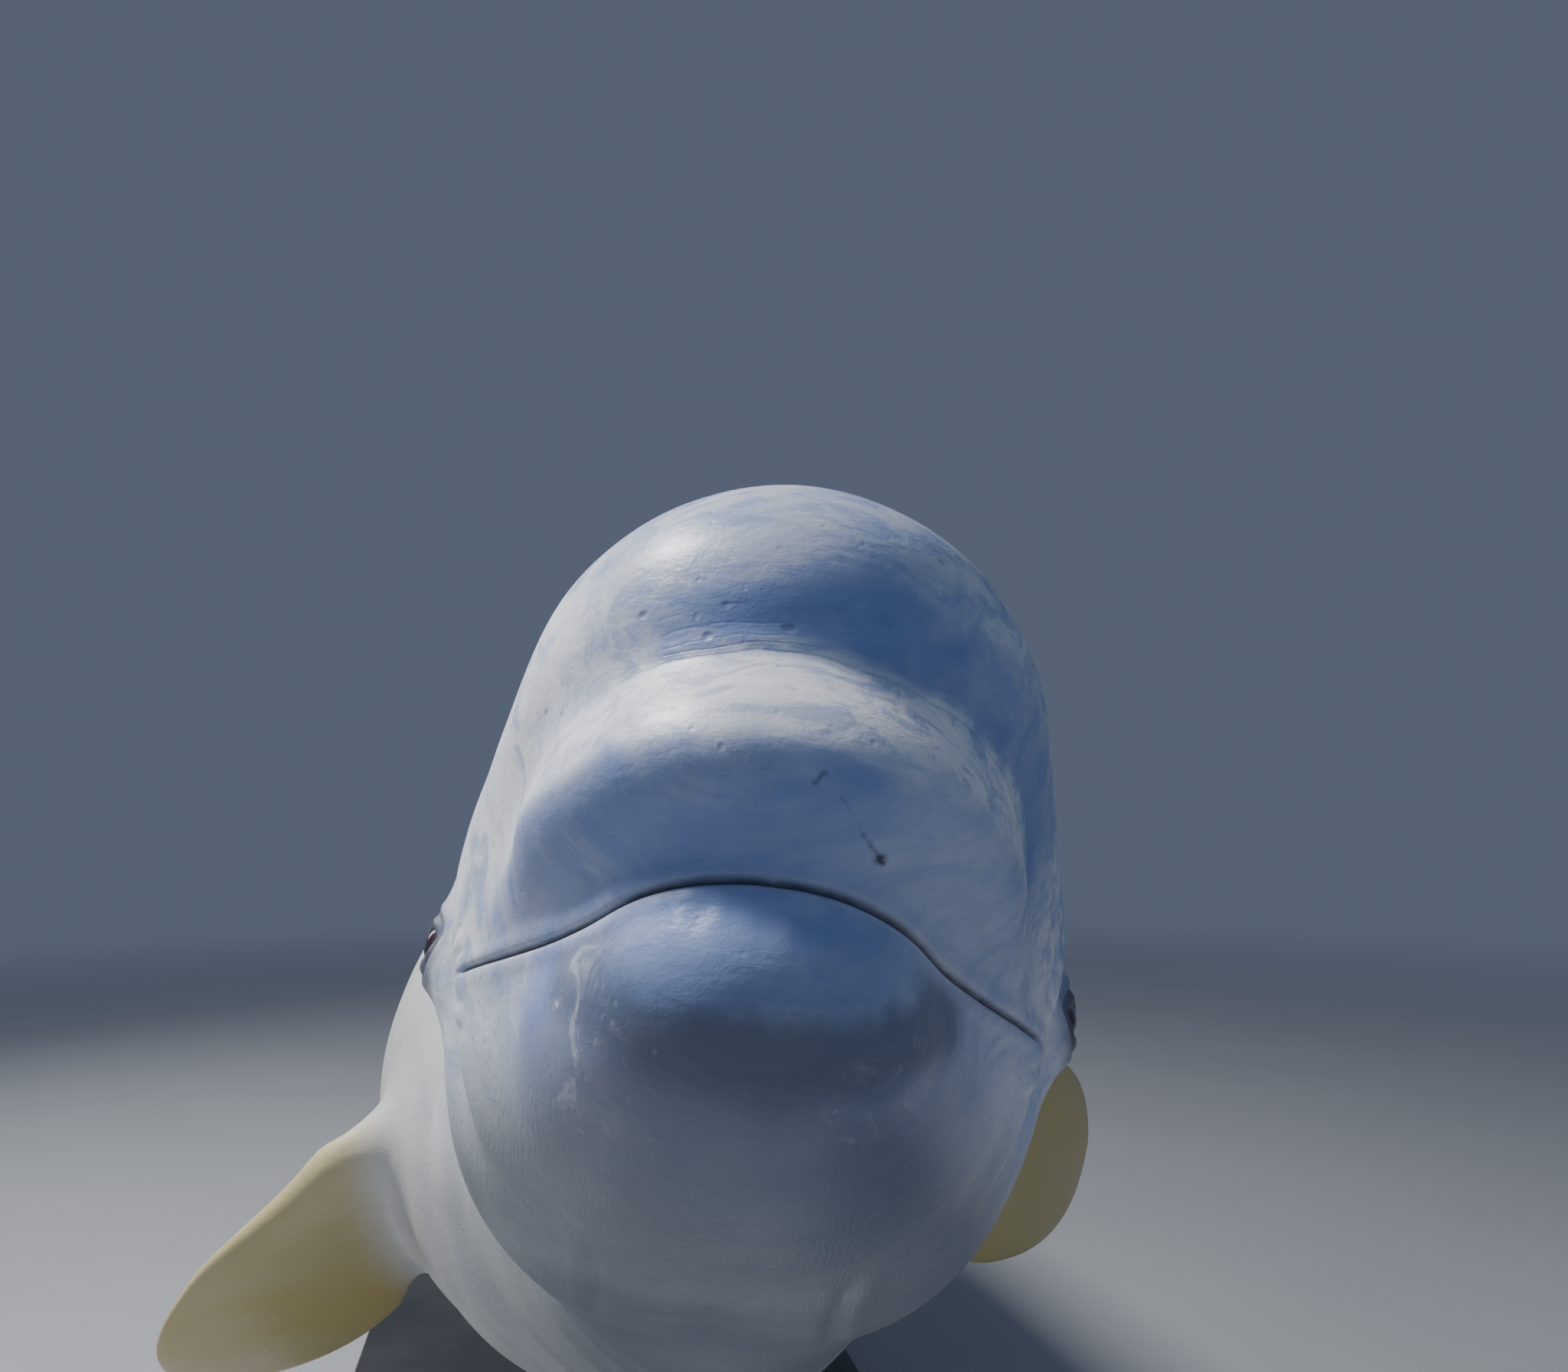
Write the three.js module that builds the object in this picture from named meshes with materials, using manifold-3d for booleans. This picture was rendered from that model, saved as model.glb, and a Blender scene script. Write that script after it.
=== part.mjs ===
// A life-size still model of a white whale, the beluga, on a plain display stand.
// Millimetres, +Z up. The whale looks along -Y, its left side is on +X.
// The body is first described straight, as (x, s, z): s runs back from the tip of
// the snout. The spine below then carries every point to its place in the pose.

import * as THREE from 'three';
import { mergeVertices } from 'three/addons/utils/BufferGeometryUtils.js';
import Module from 'manifold-3d';

const wasm = await Module();
wasm.setup();

// Gap between pieces that touch.
const GAP = 0.3;

// Head: soft ellipsoids, with centre (x, s, z) and radii (rx, rs, rz), and rzLow
// below the centre where the lower half is another one.
const MELON = { x: 0, s: 184, z: 97, rx: 145, rs: 206, rz: 118 };
const CRANIUM = { x: 0, s: 330, z: 69, rx: 196, rs: 200, rz: 159 };
const UPPER_LIP = { x: 0, s: 135, z: 8, rx: 118, rs: 155, rz: 90, rzLow: 52 };
const LOWER_JAW = { x: 0, s: 177, z: -54, rx: 96, rs: 163, rz: 74 };
const CHEEK = { x: 66, s: 334, z: -27, rx: 92, rs: 150, rz: 109 };
const THROAT = { x: 0, s: 402, z: -20, rx: 142, rs: 280, rz: 137 };
const EYE_MOUND = { x: 168, s: 287, z: 15, rx: 22, rs: 44, rz: 34 };

// How softly those forms run into one another.
const SOFT = { melon: 80, cheek: 71, lips: 22, crease: 20, neck: 90, eye: 24 };

// Body behind the head: s, height of the back, height of the belly, half width.
const STATIONS = [
  [330, 120, -80, 100],
  [450, 205, -170, 132],
  [600, 240, -232, 188],
  [850, 298, -312, 308],
  [1150, 350, -374, 360],
  [1500, 382, -410, 394],
  [1900, 378, -400, 396],
  [2300, 335, -335, 338],
  [2700, 265, -238, 250],
  [3050, 198, -150, 165],
  [3350, 142, -86, 102],
  [3600, 100, -46, 62],
  [3800, 62, -18, 38],
  [3910, 36, -5, 23],
  [3990, 16, 5, 8],
];

// The low ridge along the back that stands in for a dorsal fin.
const RIDGE = { from: 1820, to: 2620, height: 15, halfWidth: 34 };

// Mouth: its corner, the height of its line at the tip, its dip beside the tip, its
// rise towards the corner, and the depth and half width of the groove.
const MOUTH = { corner: 196, depth: 5, half: 5, fadeAhead: 12, fadeBehind: 14 };
// The mouth line: s, height. It falls beside the lower lip and then climbs to the corner.
const MOUTH_LINE = [
  [0, -32.2], [18, -32.4], [36, -34.5], [60, -37.3], [84, -35.8], [120, -31.1], [160, -26.3], [200, -21.7],
];

// Eye ball and the lids round it.
const EYE = {
  x: 180, s: 287, z: 15, radius: 20, forward: 0.16, down: 0.04,
  lidOut: 15.5, lidAlong: 18, lidUp: 13.5, lidTube: 5,
};

// Blowhole: a crescent slit, open side forward, a little left of the midline.
const BLOWHOLE = { x: 12, s: 392, radius: 42, arc: 62, width: 7, depth: 16, over: 40 };

// Spine. Degrees: the whole body noses up and banks, the neck lifts, turns and
// twists the head, and the tail bends up again towards the flukes.
const POSE = {
  bodyUp: 7, bank: 4.5,
  headUp: 18, headTurn: 9, headTwist: 4.5, neckFrom: 380, neckTo: 780,
  tailUp: 12, tailFrom: 2200, tailTo: 3700,
};
const SPINE_STEP = 10;
const SPINE_FROM = -200;
const SPINE_TO = 4200;

// Where the spine's fixed point, at s = 1500, stands over the floor.
const PIVOT_S = 1500;
const PIVOT = { x: -50.4, y: -550.8, z: 760 };

// Flippers: one paddle shape, as shares of its length and chord, and how each one is
// held. It widens from the root to the middle, rounds off from half way, and its part
// sunk in the chest narrows again. Degrees.
const PADDLE = {
  length: 430, chord: 275, thick: 62, tipThick: 14, curl: 34, sunk: 0.3,
  rootShare: 0.72, widestAt: 0.45, sunkTaper: 1.2, roundFrom: 0.5, roundPower: 2.2, leastRound: 0.0025,
  rake: 0.1,
};
const FLIPPERS = {
  flipper_left: { side: 1, s: 920, z: -112, sweep: 25, droop: -2, twist: 77 },
  flipper_right: { side: -1, s: 920, z: -108, sweep: 51, droop: 45, twist: 50 },
};
const FLIPPER_ROOT_X = 300;

// Flukes: half span, where the leading edge starts, the notch and the tips, and how the
// leading edge runs: a straight share and a curved rest.
const FLUKE = {
  span: 510, front: 3600, notch: 4000, tip: 4010, bulge: 62, thick: 50, tipThick: 8, droop: 22,
  z: 10, straight: 0.62, curve: 2.4, leastChord: 6,
};

// The body's parts: name, from s, to s, number of rings.
const PARTS = [
  ['neck', 430, 640, 5],
  ['torso_front', 640, 1500, 11],
  ['torso_rear', 1500, 2500, 11],
  ['tail_stock', 2500, 3985, 16],
];

// Rings of the head open from the snout tip up to its centre, closer near the tip,
// and lie across the spine behind it. GATHER sets points closer at the mouth's sides.
const HEAD_RINGS = 20;
const HEAD_RING_POWER = 1.25;
const HEAD_CENTRE_S = 260;
const HEAD_END = 430;
const HEAD_PLANES = [280, 302, 326, 354, 388, HEAD_END - GAP / 2];
const AROUND = 60;
const GATHER = { share: 0.62, until: 900 };
const CENTRE_SETTLES = 700;

// Search for the skin along a ray: from this far in, in steps, then halved this often.
const CAST = { from: 620, step: 10, least: 20, halvings: 18 };

// Stand.
const BASE = { length: 1900, width: 1000, thick: 36, corner: 90, behindPivot: 250 };
const ROD = { radius: 32, footRadius: 95, footThick: 16, sunk: 150 };
const RODS = { front: { s: 1180, under: 'torso_front' }, rear: { s: 2250, under: 'torso_rear' } };

// Colours, roughness and metalness.
const SKIN = { color: 0xdde3e8, roughness: 0.42, metalness: 0 };
const EYE_LOOK = { color: 0x1c1210, roughness: 0.12, metalness: 0 };
const PLINTH = { color: 0x2b2d30, roughness: 0.5, metalness: 0 };
const STEEL = { color: 0xb6b8ba, roughness: 0.32, metalness: 1 };

const radians = THREE.MathUtils.degToRad;
const smoothstep = (value, from, to) => THREE.MathUtils.smoothstep(value, from, to);

// Smallest of two distances with a soft join of reach k.
function softMin(a, b, k) {
  const h = Math.max(k - Math.abs(a - b), 0) / k;
  return Math.min(a, b) - h * h * k * 0.25;
}

// Distance to an ellipsoid, near enough close to its surface.
function ellipsoid(x, s, z, form) {
  const dx = x - form.x;
  const ds = s - form.s;
  const dz = z - form.z;
  const rz = dz < 0 && form.rzLow ? form.rzLow : form.rz;
  const near = Math.hypot(dx / form.rx, ds / form.rs, dz / rz) + 1e-9;
  const steep = Math.hypot(dx / form.rx ** 2, ds / form.rs ** 2, dz / rz ** 2) + 1e-12;
  return near * (near - 1) / steep;
}

// Smooth curve through one column of the stations.
function station(s, column, stations = STATIONS) {
  const last = stations.length - 1;
  const at = THREE.MathUtils.clamp(s, stations[0][0], stations[last][0]);
  let i = 0;
  while (i < last - 1 && at > stations[i + 1][0]) i += 1;
  const slope = (j) => {
    const a = stations[Math.max(j - 1, 0)];
    const b = stations[Math.min(j + 1, last)];
    return (b[column] - a[column]) / (b[0] - a[0]);
  };
  const [p, q] = [stations[i], stations[i + 1]];
  const span = q[0] - p[0];
  const t = (at - p[0]) / span;
  const start = (1 + 2 * t) * (1 - t) ** 2 * p[column] + t * (1 - t) ** 2 * span * slope(i);
  return start + t * t * (3 - 2 * t) * q[column] + t * t * (t - 1) * span * slope(i + 1);
}

// Distance to the body behind the head.
function trunk(x, s, z) {
  const back = station(s, 1);
  const belly = station(s, 2);
  const half = station(s, 3);
  const height = (back - belly) / 2;
  const rim = Math.min(half, height) * (Math.hypot(x / half, (z - (back + belly) / 2) / height) - 1);
  const along = (s - RIDGE.from) / (RIDGE.to - RIDGE.from);
  const rise = z > 0 && along > 0 && along < 1 ? Math.sin(Math.PI * along) ** 0.7 : 0;
  const ridge = RIDGE.height * rise * Math.exp(-((x / RIDGE.halfWidth) ** 2));
  const ahead = Math.max(STATIONS[0][0] - s, 0);
  return ahead > 0 ? Math.hypot(Math.max(rim, 0), ahead) : rim - ridge;
}

// Signed distance to the whole animal without its fins, negative inside.
function field(xSigned, s, z) {
  const x = Math.abs(xSigned);
  const part = (form) => ellipsoid(x, s, z, form);
  const upper = softMin(part(MELON), part(CRANIUM), SOFT.melon);
  const lower = softMin(part(CHEEK), part(THROAT), SOFT.cheek);
  let back = softMin(upper, lower, SOFT.cheek);
  back = softMin(back, trunk(x, s, z), SOFT.neck);
  back = softMin(back, part(EYE_MOUND), SOFT.eye);
  let lips = softMin(part(UPPER_LIP), part(LOWER_JAW), SOFT.lips);
  lips = softMin(lips, lower, SOFT.cheek);
  return softMin(lips, back, SOFT.crease);
}

// Height of the mouth line at s.
function mouthHeight(s) {
  return station(s, 1, MOUTH_LINE);
}

// The groove between the lips, which fades out behind the corner.
function lipGroove(point) {
  const fade = 1 - smoothstep(point.y, MOUTH.corner - MOUTH.fadeAhead, MOUTH.corner + MOUTH.fadeBehind);
  const off = (point.z - mouthHeight(point.y)) / MOUTH.half;
  return MOUTH.depth * fade * Math.exp(-off * off);
}

// From a centre out to the skin, or to the skin grown by some millimetres.
function castOut(centre, direction, grow) {
  const inside = (r) => field(
    centre.x + direction.x * r, centre.y + direction.y * r, centre.z + direction.z * r) < grow;
  let far = CAST.from;
  while (far > CAST.least && !inside(far - CAST.step)) far -= CAST.step;
  let near = far - CAST.step;
  for (let i = 0; i < CAST.halvings; i += 1) {
    const middle = (near + far) / 2;
    if (inside(middle)) near = middle;
    else far = middle;
  }
  const point = centre.clone().addScaledVector(direction, far);
  return point.addScaledVector(direction, -lipGroove(point));
}

// A ring of the head opens from the snout tip by an angle: its centre follows the
// mouth, so that one line of the mesh runs along the lips on each side.
function headRing(angle, grow) {
  const direction = (around) => new THREE.Vector3(
    Math.sin(angle) * Math.cos(around), -Math.cos(angle), Math.sin(angle) * Math.sin(around));
  const centre = new THREE.Vector3(0, HEAD_CENTRE_S, mouthHeight(0));
  for (let i = 0; i < 4; i += 1) centre.z = mouthHeight(castOut(centre, direction(0), 0).y);
  if (angle === 0) return [castOut(centre, direction(0), grow)];
  return ringAngles(HEAD_CENTRE_S).map((around) => castOut(centre, direction(around), grow));
}

// A ring of the body lies in one plane across the spine.
function bodyRing(s, grow) {
  const middle = (station(s, 1) + station(s, 2)) / 2;
  const blend = smoothstep(s, HEAD_CENTRE_S, CENTRE_SETTLES);
  const height = THREE.MathUtils.lerp(mouthHeight(MOUTH.corner), middle, blend);
  const centre = new THREE.Vector3(0, s, height);
  return ringAngles(s).map((around) => castOut(
    centre, new THREE.Vector3(Math.cos(around), 0, Math.sin(around)), grow));
}

// Angles round a ring, set closer at the sides of the head, where the mouth is.
function ringAngles(s) {
  const gather = GATHER.share * (1 - smoothstep(s, HEAD_CENTRE_S, GATHER.until));
  return Array.from({ length: AROUND }, (_, k) => {
    const even = 2 * Math.PI * k / AROUND;
    return even - gather * Math.sin(2 * even) / 2;
  });
}

// Turn of the body at s: nose up, then the neck's turn and lift, then the bank.
function turnAt(s) {
  const neck = 1 - smoothstep(s, POSE.neckFrom, POSE.neckTo);
  const tail = smoothstep(s, POSE.tailFrom, POSE.tailTo);
  const about = (x, y, z, degrees) => new THREE.Quaternion().setFromAxisAngle(
    new THREE.Vector3(x, y, z), radians(degrees));
  return about(1, 0, 0, POSE.tailUp * tail - POSE.bodyUp)
    .multiply(about(0, 0, 1, -POSE.headTurn * neck))
    .multiply(about(1, 0, 0, -POSE.headUp * neck))
    .multiply(about(0, 1, 0, POSE.bank + POSE.headTwist * neck));
}

// The spine: a point and a turn every few millimetres, summed from the turns.
function makeSpine() {
  const spine = [];
  const place = new THREE.Vector3();
  for (let s = SPINE_FROM; s <= SPINE_TO; s += SPINE_STEP) {
    const turn = turnAt(s);
    if (spine.length) {
      const middle = new THREE.Vector3(0, SPINE_STEP, 0).applyQuaternion(turnAt(s - SPINE_STEP / 2));
      place.add(middle);
    }
    spine.push({ s, place: place.clone(), turn });
  }
  const fixed = spine.find((knot) => knot.s === PIVOT_S).place.clone();
  const shift = new THREE.Vector3(PIVOT.x, PIVOT.y, PIVOT.z).sub(fixed);
  spine.forEach((knot) => knot.place.add(shift));
  return spine;
}
const SPINE = makeSpine();

// Carries a point (x, s, z) of the straight body to its place in the pose.
function posed(point) {
  const i = THREE.MathUtils.clamp(
    Math.floor((point.y - SPINE_FROM) / SPINE_STEP), 0, SPINE.length - 2);
  const t = (point.y - SPINE[i].s) / SPINE_STEP;
  const turn = SPINE[i].turn.clone().slerp(SPINE[i + 1].turn, THREE.MathUtils.clamp(t, 0, 1));
  const place = SPINE[i].place.clone().lerp(SPINE[i + 1].place, t);
  return place.add(new THREE.Vector3(point.x, 0, point.z).applyQuaternion(turn));
}

// Closed surface through rings of equal length, with a fan at each end.
function skinOver(rings, frontTip, backTip) {
  const n = rings[0].length;
  const points = [frontTip, ...rings.flat(), backTip].map(posed);
  const index = [];
  const at = (ring, k) => 1 + ring * n + (k % n);
  const last = rings.length - 1;
  for (let k = 0; k < n; k += 1) {
    index.push(0, at(0, k), at(0, k + 1));
    index.push(points.length - 1, at(last, k + 1), at(last, k));
    for (let ring = 0; ring < last; ring += 1) {
      index.push(at(ring, k), at(ring + 1, k), at(ring + 1, k + 1));
      index.push(at(ring, k), at(ring + 1, k + 1), at(ring, k + 1));
    }
  }
  const geometry = new THREE.BufferGeometry().setFromPoints(points);
  geometry.setIndex(index);
  return facingOut(geometry);
}

// Turns the triangles over where a closed surface faces in.
function facingOut(geometry) {
  const position = geometry.getAttribute('position');
  const corner = (i) => new THREE.Vector3().fromBufferAttribute(position, geometry.index.getX(i));
  let volume = 0;
  for (let i = 0; i < geometry.index.count; i += 3) {
    volume += corner(i).dot(corner(i + 1).cross(corner(i + 2)));
  }
  if (volume < 0) geometry.setIndex([...geometry.index.array].reverse());
  return geometry;
}

// Shared vertices merged, with only positions left.
function indexed(geometry) {
  const bare = geometry.clone();
  bare.deleteAttribute('normal');
  bare.deleteAttribute('uv');
  return mergeVertices(bare, 1e-4);
}

// A solid for joining and cutting.
function solidOf(geometry) {
  const merged = indexed(geometry);
  return new wasm.Manifold(new wasm.Mesh({
    numProp: 3,
    vertProperties: new Float32Array(merged.getAttribute('position').array),
    triVerts: new Uint32Array(merged.index.array),
  }));
}

// The largest closed surface of a solid, as a geometry.
function geometryOf(solid) {
  const pieces = solid.decompose();
  pieces.sort((a, b) => b.volume() - a.volume());
  const mesh = pieces[0].getMesh();
  const geometry = new THREE.BufferGeometry();
  geometry.setAttribute('position', new THREE.BufferAttribute(mesh.vertProperties, 3));
  geometry.setIndex(new THREE.BufferAttribute(mesh.triVerts, 1));
  return geometry;
}

// One length of the body between two cuts, or the same grown a little.
function bodyLength(from, to, count, grow = 0) {
  const start = from + GAP / 2 - grow;
  const end = to - GAP / 2 + grow;
  const rings = Array.from({ length: count + 1 }, (_, i) => bodyRing(
    THREE.MathUtils.lerp(start, end, i / count), grow));
  const middle = (s) => new THREE.Vector3(0, s, (station(s, 1) + station(s, 2)) / 2);
  return skinOver(rings, middle(start), middle(end));
}

// The head from the snout tip to the neck.
function headShell() {
  const rings = [];
  for (let i = 1; i <= HEAD_RINGS; i += 1) {
    rings.push(headRing(Math.PI / 2 * (i / HEAD_RINGS) ** HEAD_RING_POWER, 0));
  }
  for (const s of HEAD_PLANES) rings.push(bodyRing(s, 0));
  const [tip] = headRing(0, 0);
  return skinOver(rings, tip, new THREE.Vector3(0, HEAD_END - GAP / 2, 0));
}

// A prism under the mouth line, from ahead of the snout to the jaw's hinge.
const JAW_CUT = { ahead: -80, hinge: 330, below: -320, half: 260 };

function underMouth(shift) {
  const outline = [new THREE.Vector2(JAW_CUT.ahead, mouthHeight(0) + shift)];
  const steps = 12;
  for (let i = 0; i <= steps; i += 1) {
    const s = MOUTH.corner * i / steps;
    outline.push(new THREE.Vector2(s + shift, mouthHeight(s) + shift));
  }
  outline.push(new THREE.Vector2(JAW_CUT.hinge + shift, JAW_CUT.below));
  outline.push(new THREE.Vector2(JAW_CUT.ahead, JAW_CUT.below));
  const wide = JAW_CUT.half;
  const prism = new THREE.ExtrudeGeometry(
    new THREE.Shape(outline), { depth: 2 * wide, bevelEnabled: false, curveSegments: 1 });
  const position = prism.getAttribute('position');
  for (let i = 0; i < position.count; i += 1) {
    const at = new THREE.Vector3(position.getZ(i) - wide, position.getX(i), position.getY(i));
    position.setXYZ(i, ...posed(at).toArray());
  }
  return facingOut(indexed(prism));
}

// Moves a geometry made about the origin, with z out of the skin and x along the
// head, onto the straight head and then into the pose.
function ontoHead(geometry, centre, outward, along) {
  const z = outward.clone().normalize();
  const x = along.clone().addScaledVector(z, -along.dot(z)).normalize();
  const y = new THREE.Vector3().crossVectors(z, x);
  const placed = indexed(geometry);
  placed.applyMatrix4(new THREE.Matrix4().makeBasis(x, y, z).setPosition(centre));
  const position = placed.getAttribute('position');
  for (let i = 0; i < position.count; i += 1) {
    const at = new THREE.Vector3().fromBufferAttribute(position, i);
    position.setXYZ(i, ...posed(at).toArray());
  }
  return facingOut(placed);
}

// The two eyes look out and a little forward and down.
const eyeCentre = (side) => new THREE.Vector3(side * EYE.x, EYE.s, EYE.z);
const eyeOutward = (side) => new THREE.Vector3(side, -EYE.forward, -EYE.down);
const HEAD_AXIS = new THREE.Vector3(0, 1, 0);

function eyeBall(side, grow = 0) {
  const ball = new THREE.SphereGeometry(EYE.radius + grow, 18, 12);
  return ontoHead(ball, eyeCentre(side), eyeOutward(side), HEAD_AXIS);
}

// Upper and lower lid as one raised rim round the opening.
function lids(side) {
  const rim = new THREE.TorusGeometry(1, EYE.lidTube / EYE.lidAlong, 8, 22);
  rim.scale(EYE.lidAlong, EYE.lidUp, EYE.lidAlong);
  const out = eyeOutward(side).normalize().multiplyScalar(EYE.lidOut);
  return ontoHead(rim, eyeCentre(side).add(out), eyeOutward(side), HEAD_AXIS);
}

// The crescent of the blowhole as a cutter.
function blowhole() {
  const half = radians(BLOWHOLE.arc);
  const outer = BLOWHOLE.radius;
  const crescent = new THREE.Shape();
  const steps = 10;
  for (let i = 0; i <= steps; i += 1) {
    const angle = THREE.MathUtils.lerp(-half, half, i / steps);
    crescent[i ? 'lineTo' : 'moveTo'](outer * Math.cos(angle), outer * Math.sin(angle));
  }
  for (let i = 1; i < steps; i += 1) {
    const angle = THREE.MathUtils.lerp(half, -half, i / steps);
    const inner = outer - BLOWHOLE.width * Math.cos(angle / half * Math.PI / 2);
    crescent.lineTo(inner * Math.cos(angle), inner * Math.sin(angle));
  }
  const slit = new THREE.ExtrudeGeometry(
    crescent, { depth: BLOWHOLE.depth + BLOWHOLE.over, bevelEnabled: false });
  const up = new THREE.Vector3(0, 0, 1);
  const inside = new THREE.Vector3(BLOWHOLE.x, BLOWHOLE.s, 0);
  const top = castOut(inside, up, 0);
  top.z -= BLOWHOLE.depth;
  top.y -= outer;
  return ontoHead(slit, top, up, HEAD_AXIS);
}

// A fin from sections along its span: front and rear edge, thickness, and place.
function blade(stations, place) {
  const corners = 16;
  const rings = stations.map(({ t, lead, trail, thick }) => Array.from({ length: corners }, (_, k) => {
    const angle = 2 * Math.PI * k / corners;
    const along = (lead + trail) / 2 - Math.cos(angle) * (trail - lead) / 2;
    const bulk = Math.sin(angle) * thick / 2 * (1 + 0.35 * Math.cos(angle));
    return place(t, along, bulk);
  }));
  const middle = ({ t, lead, trail }) => place(t, (lead + trail) / 2, 0);
  return skinOver(rings, middle(stations[0]), middle(stations.at(-1)));
}

// Edges and thickness of a flipper at t, from the root at 0 to the tip at 1.
function paddleAt(t) {
  const body = Math.max(t, 0);
  const widening = (1 - PADDLE.rootShare) * smoothstep(body, 0, PADDLE.widestAt);
  const wide = PADDLE.chord * (PADDLE.rootShare + widening + PADDLE.sunkTaper * Math.min(t, 0));
  const outer = Math.max(body - PADDLE.roundFrom, 0) / (1 - PADDLE.roundFrom);
  const round = Math.sqrt(Math.max(1 - outer ** PADDLE.roundPower, PADDLE.leastRound));
  const shift = PADDLE.rake * PADDLE.chord * body * body;
  return {
    t,
    lead: shift - wide * round / 2,
    trail: shift + wide * round / 2,
    thick: THREE.MathUtils.lerp(PADDLE.thick, PADDLE.tipThick, body ** 0.8) * round ** 0.4,
  };
}

function flipper({ side, s, z, sweep, droop, twist }) {
  const span = new THREE.Vector3(
    side * Math.cos(radians(sweep)) * Math.cos(radians(droop)),
    Math.sin(radians(sweep)) * Math.cos(radians(droop)),
    -Math.sin(radians(droop)));
  const back = HEAD_AXIS.clone().addScaledVector(span, -span.y).normalize();
  const up = new THREE.Vector3().crossVectors(span, back).multiplyScalar(side);
  const chord = back.clone().multiplyScalar(Math.cos(radians(twist)));
  chord.addScaledVector(up, -Math.sin(radians(twist)));
  const normal = new THREE.Vector3().crossVectors(span, chord).multiplyScalar(side);
  const root = new THREE.Vector3(side * FLIPPER_ROOT_X, s, z);
  const steps = [-PADDLE.sunk, 0, 0.12, 0.26, 0.4, 0.52, 0.63, 0.73, 0.82, 0.89, 0.94, 0.975, 0.995];
  return blade(steps.map(paddleAt), (t, along, bulk) => root.clone()
    .addScaledVector(span, PADDLE.length * t)
    .addScaledVector(chord, along)
    .addScaledVector(normal, bulk + PADDLE.curl * Math.max(t, 0) ** 3));
}

// Edges and thickness of a fluke at t, from the midline at 0 to the tip at 1.
function flukeAt(t) {
  const run = FLUKE.straight * t + (1 - FLUKE.straight) * t ** FLUKE.curve;
  const lead = THREE.MathUtils.lerp(FLUKE.front, FLUKE.tip, run);
  const between = THREE.MathUtils.lerp(FLUKE.notch, FLUKE.tip, t);
  const trail = between + FLUKE.bulge * Math.sin(Math.PI * t ** 0.72);
  return {
    t,
    lead: Math.min(lead, trail - FLUKE.leastChord),
    trail,
    thick: THREE.MathUtils.lerp(FLUKE.thick, FLUKE.tipThick, t ** 0.7),
  };
}

function fluke(side) {
  const steps = [0, 0.06, 0.14, 0.24, 0.36, 0.48, 0.6, 0.71, 0.81, 0.89, 0.95, 0.985, 1];
  return blade(steps.map(flukeAt), (t, along, bulk) => new THREE.Vector3(
    side * (GAP / 2 + FLUKE.span * t), along, FLUKE.z + bulk - FLUKE.droop * t * t));
}

// The stand's base plate with rounded corners.
function basePlate() {
  const [w, l, r] = [BASE.width / 2, BASE.length / 2, BASE.corner];
  const outline = new THREE.Shape();
  outline.moveTo(r - w, -l);
  outline.absarc(w - r, r - l, r, -Math.PI / 2, 0);
  outline.absarc(w - r, l - r, r, 0, Math.PI / 2);
  outline.absarc(r - w, l - r, r, Math.PI / 2, Math.PI);
  outline.absarc(r - w, r - l, r, Math.PI, 1.5 * Math.PI);
  const plate = new THREE.ExtrudeGeometry(
    outline, { depth: BASE.thick, bevelEnabled: false, curveSegments: 8 });
  return plate.translate(PIVOT.x, PIVOT.y + BASE.behindPivot, 0);
}

// A round bar of the stand, upright under the spine at s, between two heights.
function upright(s, radius, low, high) {
  const over = posed(new THREE.Vector3(0, s, 0));
  const bar = new THREE.CylinderGeometry(radius, radius, high - low, 32);
  bar.rotateX(Math.PI / 2);
  bar.translate(over.x, over.y, (low + high) / 2);
  return facingOut(indexed(bar));
}

const model = new THREE.Group();

function add(name, geometry, look) {
  const mesh = new THREE.Mesh(geometry, new THREE.MeshStandardMaterial(look));
  mesh.name = name;
  model.add(mesh);
}

// Head and lower jaw, with eye sockets, lids and blowhole.
let head = solidOf(headShell()).subtract(solidOf(blowhole()));
for (const side of [1, -1]) {
  head = head.add(solidOf(lids(side))).subtract(solidOf(eyeBall(side, GAP)));
}
const jaw = head.intersect(solidOf(underMouth(-GAP / 2)));
add('head', geometryOf(head.subtract(solidOf(underMouth(GAP / 2)))), SKIN);
add('lower_jaw', geometryOf(jaw), SKIN);
add('eye_left', eyeBall(1), EYE_LOOK);
add('eye_right', eyeBall(-1), EYE_LOOK);

// Neck, torso and tail stock.
for (const [name, from, to, count] of PARTS) add(name, bodyLength(from, to, count), SKIN);

// Flippers, cut clear of the chest that they grow from.
const grownPart = (name) => {
  const [, from, to, count] = PARTS.find((part) => part[0] === name);
  return solidOf(bodyLength(from, to, count, GAP));
};
const chest = grownPart('torso_front');
for (const [name, hold] of Object.entries(FLIPPERS)) {
  add(name, geometryOf(solidOf(flipper(hold)).subtract(chest)), SKIN);
}

// Flukes, cut clear of the tail stock.
const stock = grownPart('tail_stock');
add('fluke_left', geometryOf(solidOf(fluke(1)).subtract(stock)), SKIN);
add('fluke_right', geometryOf(solidOf(fluke(-1)).subtract(stock)), SKIN);

// Display stand: on the base a foot plate and a rod up to the belly, twice.
add('stand_base', basePlate(), PLINTH);
const footLow = BASE.thick + GAP;
const footHigh = footLow + ROD.footThick;
for (const [name, { s, under }] of Object.entries(RODS)) {
  const top = posed(new THREE.Vector3(0, s, 0)).z - ROD.sunk;
  const bar = upright(s, ROD.radius, footHigh + GAP, top);
  add(`stand_foot_${name}`, upright(s, ROD.footRadius, footLow, footHigh), STEEL);
  add(`stand_rod_${name}`, geometryOf(solidOf(bar).subtract(grownPart(under))), STEEL);
}

export default model;
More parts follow.
